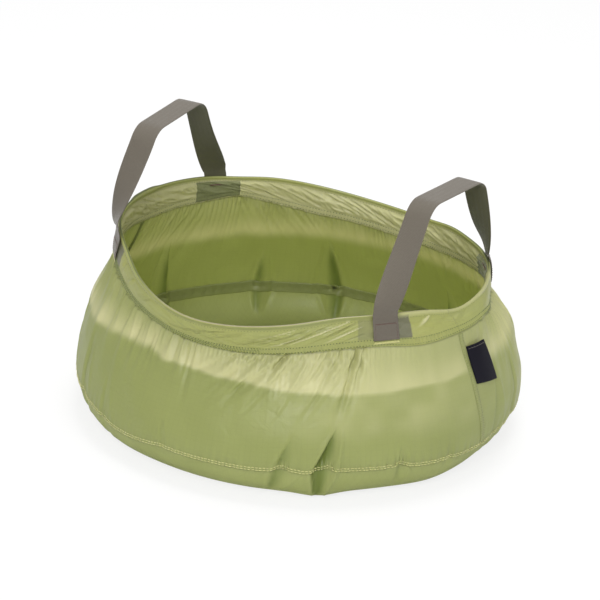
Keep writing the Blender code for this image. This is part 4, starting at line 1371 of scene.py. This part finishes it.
# %% [markdown]
# ## Handles
# A handle is one length of webbing. It lies flat on the collar where it is sewn, crosses the rim,
# and turns a quarter turn on its way up to the grip. A curve object with a tilt could carry a flat
# profile too, but its twist is hard to steer. So each leg is a row of stations, each with a middle
# point and a direction across, and a cubic through them gives the places between.

# %% Curves for the handles
WEB_WIDTH = 0.0210
WEB_THICKNESS = 0.0011
TAB_RISE = 0.006
HANDLE_HEIGHT = 0.072
GRIP_LENGTH = 0.090
GRIP_CORNER = 0.020
SEWN_OVERS = (0.205, 0.40, 0.60, 0.80)
SEWN_OUT = (0.0021, 0.0026, 0.0027, 0.0026)
LEG_POINTS = 110
BEAD_CLEARANCE = 0.0017


def fold_point(anchor):
    """Middle of the line where a handle bends, above a sewn end."""
    place = bowl_out(np.array([anchor]), np.array([2.0]), np.array([BEAD_CLEARANCE + 0.0012]))[0]
    return place + np.array([0.0, 0.0, BEAD_CLEARANCE + 0.0004 + TAB_RISE])


def through(stations, count):
    """Catmull-Rom curve through the stations, evenly in parameter."""
    s = np.asarray(stations, float)
    s = np.concatenate([[2 * s[0] - s[1]], s, [2 * s[-1] - s[-2]]])
    t = np.linspace(0.0, len(s) - 3.0001, count)
    i = t.astype(int)
    f = (t - i)[:, None]
    a, b, c, d = s[i], s[i + 1], s[i + 2], s[i + 3]
    return 0.5 * (2 * b + (c - a) * f + (2 * a - 5 * b + 4 * c - d) * f**2
                  + (3 * b - a - 3 * c + d) * f**3)


def softened(values, times):
    """Each value moved half way to the mean of its two neighbours, several times over."""
    for _ in range(times):
        values[1:-1] = 0.5 * values[1:-1] + 0.25 * (values[:-2] + values[2:])
    return values


print("webbing", WEB_WIDTH, "wide and", WEB_THICKNESS, "thick")

# %% [markdown]
# ## The path of one leg
# From its cut end the webbing goes up the collar's outside, over the bead, and straight up to a
# round corner, then along the grip. On the way up its outer face turns from the outside of the bowl
# to the far side of the grip, quickly at first, as a flat band does when both its ends are held.

# %% The path of one leg
def half_handle(anchor, axis, up, middle):
    """One leg, from a sewn end's lower edge to the middle of the grip: places and directions
    across. The outer face looks straight out at the foot, away from the opening at the grip."""
    foot = fold_point(anchor)
    overs = np.array(SEWN_OVERS)
    on_collar = bowl_out(np.full(4, anchor), 1.0 + overs, np.array(SEWN_OUT))
    tangents = unit(bowl(anchor + 1.0, 1.0 + overs) - bowl(anchor - 1.0, 1.0 + overs))
    over_bead = bowl_out(np.array([anchor]), np.array([2.0]), np.array([0.0026]))[0]
    tangent = unit(bowl(anchor + 1.0, 2.0) - bowl(anchor - 1.0, 2.0))
    places = [*on_collar, over_bead, over_bead * 0.45 + foot * 0.55, foot]
    across = [*tangents, tangent, tangent, tangent]
    inwards = axis if (foot - middle) @ axis < 0 else -axis
    start, grip = abs((foot - middle) @ axis), GRIP_LENGTH / 2.0
    on_line = middle + axis * ((foot - middle) @ axis)
    lean = math.atan2(start - grip, HANDLE_HEIGHT)
    turn = math.pi / 2.0 - lean
    cut = GRIP_CORNER * math.tan(turn / 2.0)
    leg = math.hypot(start - grip, HANDLE_HEIGHT) - cut
    last = unit(np.cross(up, -inwards))
    for share in (0.2, 0.4, 0.6, 0.8, 1.0):
        start_place = foot * (1.0 - share) + on_line * share
        places.append(start_place + (inwards * math.sin(lean) + up * math.cos(lean)) * leg * share)
        turned_by = 1.0 - (1.0 - share) ** 2
        facing = unit(outward(anchor) * (1.0 - turned_by) - inwards * turned_by)
        across.append(unit(np.cross(up, facing)))
    centre = on_line + inwards * (start - grip + cut) + up * (HANDLE_HEIGHT - GRIP_CORNER)
    for angle in np.linspace(0.0, turn, 5)[1:]:
        around = -inwards * math.cos(lean + angle) + up * math.sin(lean + angle)
        places.append(centre + around * GRIP_CORNER)
        across.append(last)
    for left in (0.75, 0.4, 0.0):
        places.append(on_line + inwards * (start - (grip - cut) * left) + up * HANDLE_HEIGHT)
        across.append(last)
    return through(places, LEG_POINTS), unit(through(across, LEG_POINTS))


print("a leg has", LEG_POINTS, "places")

# %% [markdown]
# ## The whole strip
# Two legs meet in the middle of the grip and become one strip. It is not quite upright: at the foot,
# half way and at the grip it stands a few millimetres out from the plane of its hinge, as slack
# webbing does when it is pulled up.

# %% The whole strip
# for the front leg and the rear leg, metres outwards at the foot, of the bow, and at the grip
HANDLE_LEANS = {"right": ((0.0005, 0.0, 0.0), (-0.0050, 0.0, -0.0058)),
                "left": ((0.0, 0.0043, 0.0030), (0.0010, 0.0, 0.0100))}


def lean_out(side, path, axis, up, centre, span):
    """How far each point stands outwards: from foot to grip by rise^0.7, plus a bow of
    sin(pi rise^0.6), mixed along the hinge from the front leg's values to the rear leg's."""
    backwards = axis if (path[-1] - path[0]) @ axis > 0 else -axis
    along = np.clip(0.5 + (path - centre) @ backwards / span, 0.0, 1.0)
    height = (path - centre) @ up
    rise = np.clip(height / HANDLE_HEIGHT, 0.0, 1.0)
    front_lean, rear_lean = (low + (high - low) * rise**0.7 + bow * np.sin(math.pi * rise**0.6)
                             for low, bow, high in HANDLE_LEANS[side])
    free = ramp(height, -TAB_RISE - 0.0015, -TAB_RISE + 0.0045)
    return free * (front_lean * (1.0 - along) + rear_lean * along)


def handle_path(side):
    """Places, directions along and across, and outer face of a handle, with the middle of its
    hinge and the direction up from there."""
    azimuth = HANDLES[side]
    near, far = fold_point(azimuth - ANCHOR_SPREAD), fold_point(azimuth + ANCHOR_SPREAD)
    axis = unit(far - near)
    up = unit(np.array([0.0, 0.0, 1.0]) - axis * axis[2])
    centre = (near + far) / 2.0
    (front_path, front_width), (rear_path, rear_width) = (
        half_handle(anchors[side, end], axis, up, centre) for end in ("front", "rear"))
    if front_width[-1] @ rear_width[-1] < 0:
        rear_width = -rear_width
    path = softened(np.concatenate([front_path, rear_path[::-1][1:]]), 7)
    leans = lean_out(side, path, axis, up, centre, np.linalg.norm(far - near))
    path = path + leans[:, None] * outward(azimuth)
    forward = unit(np.gradient(path, axis=0))
    width = np.concatenate([front_width, rear_width[::-1][1:]])
    width = unit(width - forward * (width * forward).sum(-1, keepdims=True))
    width = unit(softened(width, 13))
    facing = np.cross(forward, width)
    if facing[5] @ bowl_frame(np.array([anchors[side, "front"]]), np.array([1.5]))[1][0] < 0:
        facing = -facing
    return path, forward, width, facing, centre, up


print("handles stand", HANDLE_HEIGHT, "above their hinges")

# %% [markdown]
# ## Handle webbing
# The strip's section is a flat rounded bar. It is carried along the path as a grid, and its two cut
# ends are closed. It bends at the line above its two sewn ends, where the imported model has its
# joint, because webbing has no pin.


def rounded(values, power):
    """Values from -1 to 1 pushed towards both ends: sign times size to a power."""
    return np.sign(values) * abs(values) ** power


def close_ends(piece):
    """Fill a tube's open ends and turn all its faces outwards."""
    bm = bmesh.new()
    bm.from_mesh(piece.data)
    bmesh.ops.holes_fill(bm, edges=[edge for edge in bm.edges if edge.is_boundary])
    bmesh.ops.recalc_face_normals(bm, faces=bm.faces[:])
    bm.to_mesh(piece.data)
    bm.free()


section_angle = np.linspace(0.0, 2.0 * math.pi, 28, endpoint=False)
section_across = rounded(np.cos(section_angle), 0.35) * WEB_WIDTH / 2.0
section_thick = rounded(np.sin(section_angle), 0.55) * WEB_THICKNESS / 2.0
sewn_faces = {}
for side in HANDLES:
    path, forward, width, facing, centre, up = handle_path(side)
    across, thick = section_across, section_thick
    if np.cross(width[5], facing[5]) @ forward[5] > 0:
        across, thick = across[::-1], thick[::-1]
    ring = path[None] + across[:, None, None] * width[None] + thick[:, None, None] * facing[None]
    gone = np.append(0.0, np.linalg.norm(np.diff(path, axis=0), axis=-1).cumsum())
    around = np.append(across, across[0]) + WEB_WIDTH / 2.0 + 0.0005
    strap = surface(f"{side}_handle_webbing", ring, webbing, ring=True,
                    uv=np.stack(np.meshgrid(around, gone, indexing="ij"), -1),
                    values={"inner": (thick < 0).astype(float)[:, None]})
    close_ends(strap)
    outer_face = path + facing * WEB_THICKNESS / 2.0
    sewn_faces[side, "front"] = (outer_face, width, facing)
    sewn_faces[side, "rear"] = (outer_face[::-1], width[::-1], facing[::-1])
    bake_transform(strap)
    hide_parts(f"{side}_handle_strap", f"front_{side}_sewn_end", f"rear_{side}_sewn_end")
    print(side, "handle webbing", round(gone[-1], 3), "long")

# %% [markdown]
# ## Stitching of the sewn ends
# Each sewn end has a box of stitches. Its top line is a dark red-brown bartack, and a pale zigzag
# holds its cut end down on the collar's seam. All of them are laid from points on the webbing's
# outer face, so they follow its lean and twist.

# %% Stitching of the sewn ends
BOX_HALF = 0.0088
BOX_TOP = 0.72
END_HALF = 0.0100
END_DOWN = 0.0030
STEPS_PER_STATION = (LEG_POINTS - 1) / 18.0


def face_point(face, along, over):
    """Point on a sewn end's outer face: a length across the webbing, and how far up the collar,
    0 to 1."""
    outer_face, width, _ = face
    along, over = np.broadcast_arrays(np.asarray(along, float), np.asarray(over, float))
    step = np.interp(over, SEWN_OVERS, range(4)) * STEPS_PER_STATION
    low = step.astype(int)
    part = (step - low)[..., None]
    return outer_face[low] * (1.0 - part) + outer_face[low + 1] * part + along[..., None] * width[low]


for (side, end), face in sewn_faces.items():
    away = face[2][8]
    for number, along in enumerate((-BOX_HALF, BOX_HALF)):
        line = face_point(face, along, np.linspace(0.22, 0.73, 30))
        made = stitches(f"{end}_{side}_box_side_{number + 1}", *along_line(
            line, np.broadcast_to(away, line.shape), 0.0020, 0.6), 0.00022, threads["brown"])
        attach(made, "rim")
    left, far = face_point(face, np.array([-BOX_HALF, BOX_HALF]), BOX_TOP)
    step = unit(face_point(face, 0.0, 0.80) - face_point(face, 0.0, BOX_TOP)) * 0.0008
    made = stitches(f"{end}_{side}_bartack_top", *zigzag(left, far - left, step, away, 44), 0.00022,
                    threads["brown"])
    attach(made, "rim")
    down = unit(face_point(face, 0.0, SEWN_OVERS[0]) - face_point(face, 0.0, 0.30))
    corners = face_point(face, np.array([-END_HALF, END_HALF]), SEWN_OVERS[0])
    left, far = corners - away * 0.0004 + down * END_DOWN
    made = stitches(f"{end}_{side}_bartack_foot", *zigzag(left, far - left, -down * 0.0023, away, 34),
                    0.00025, threads["pale"])
    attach(made, "rim")
print("box stitches", 2 * BOX_HALF, "wide on", len(anchors), "sewn ends")

# %% [markdown]
# ## Cut sizes
# The collar's strips and the wall's panels print their cut sizes as they are made. The floor's cut
# size is its flat round and the part that is turned up all round it.

# %% [markdown]
# ## Ground
# The basin stands on a plain white ground. It shows itself to the camera partly as plain white, so
# that the background stays white, and keeps the basin's soft shadow.

# %% Ground
scene = bpy.context.scene
scene.view_settings.view_transform = "Standard"
HALF = 15.0
ground_mesh = bpy.data.meshes.new("ground")
ground_mesh.from_pydata([(-HALF, -HALF, 0), (HALF, -HALF, 0), (HALF, HALF, 0), (-HALF, HALF, 0)], [],
                        [(0, 1, 2, 3)])
ground = bpy.data.objects.new("ground", ground_mesh)
scene.collection.objects.link(ground)
finish, tree, output = start_material("ground_white")
path = node(tree, "ShaderNodeLightPath")
plain = node(tree, "ShaderNodeBsdfDiffuse", {"Color": (0.90, 0.90, 0.90, 1.0)})
white = node(tree, "ShaderNodeEmission", {"Color": (1.0, 1.0, 1.0, 1.0), "Strength": 1.0})
seen = sums(tree, "MULTIPLY", path.outputs["Is Camera Ray"], 0.80)
both = node(tree, "ShaderNodeMixShader", {0: seen, 1: plain.outputs[0], 2: white.outputs[0]})
tree.links.new(both.outputs[0], output.inputs[0])
ground_mesh.materials.append(finish)
print("ground", 2.0 * HALF, "wide")

# %% [markdown]
# ## Background and lamps
# The light is that of a white studio: a large lamp high in front, a strong one above
# the mouth, weak ones on both sides, and a white background that lights the shadows a little.

# %% Background and lamps
world = bpy.data.worlds.new("studio")
scene.world = world
world.use_nodes = True
tree = world.node_tree
tree.nodes.clear()
output = tree.nodes.new("ShaderNodeOutputWorld")
lit = node(tree, "ShaderNodeBackground", {"Color": (1.0, 1.0, 1.0, 1.0), "Strength": 0.50})
shown = node(tree, "ShaderNodeBackground", {"Color": (1.0, 1.0, 1.0, 1.0), "Strength": 1.0})
path = node(tree, "ShaderNodeLightPath")
both = node(tree, "ShaderNodeMixShader", {0: path.outputs["Is Camera Ray"], 1: lit.outputs[0],
                                          2: shown.outputs[0]})
tree.links.new(both.outputs[0], output.inputs[0])

# place, size and power
LAMPS = {
    "key": ((0.72, -1.99, 1.5), 0.8, 29.6),
    "left": ((-2.0, -0.9, 1.0), 0.7, 0.9),
    "right": ((1.9, -0.2, 0.9), 0.8, 5.0),
    "top": ((-0.1, 0.4, 1.9), 1.0, 24.0),
}
for key, (place, size, power) in LAMPS.items():
    lamp = bpy.data.objects.new(f"{key}_lamp", bpy.data.lights.new(f"{key}_lamp", "AREA"))
    lamp.data.energy, lamp.data.size = power, size
    lamp.location = place
    aim = Vector((0.0, 0.0, 0.08)) - Vector(place)
    lamp.rotation_euler = aim.to_track_quat("-Z", "Y").to_euler()
    scene.collection.objects.link(lamp)
print("lamps:", ", ".join(LAMPS))
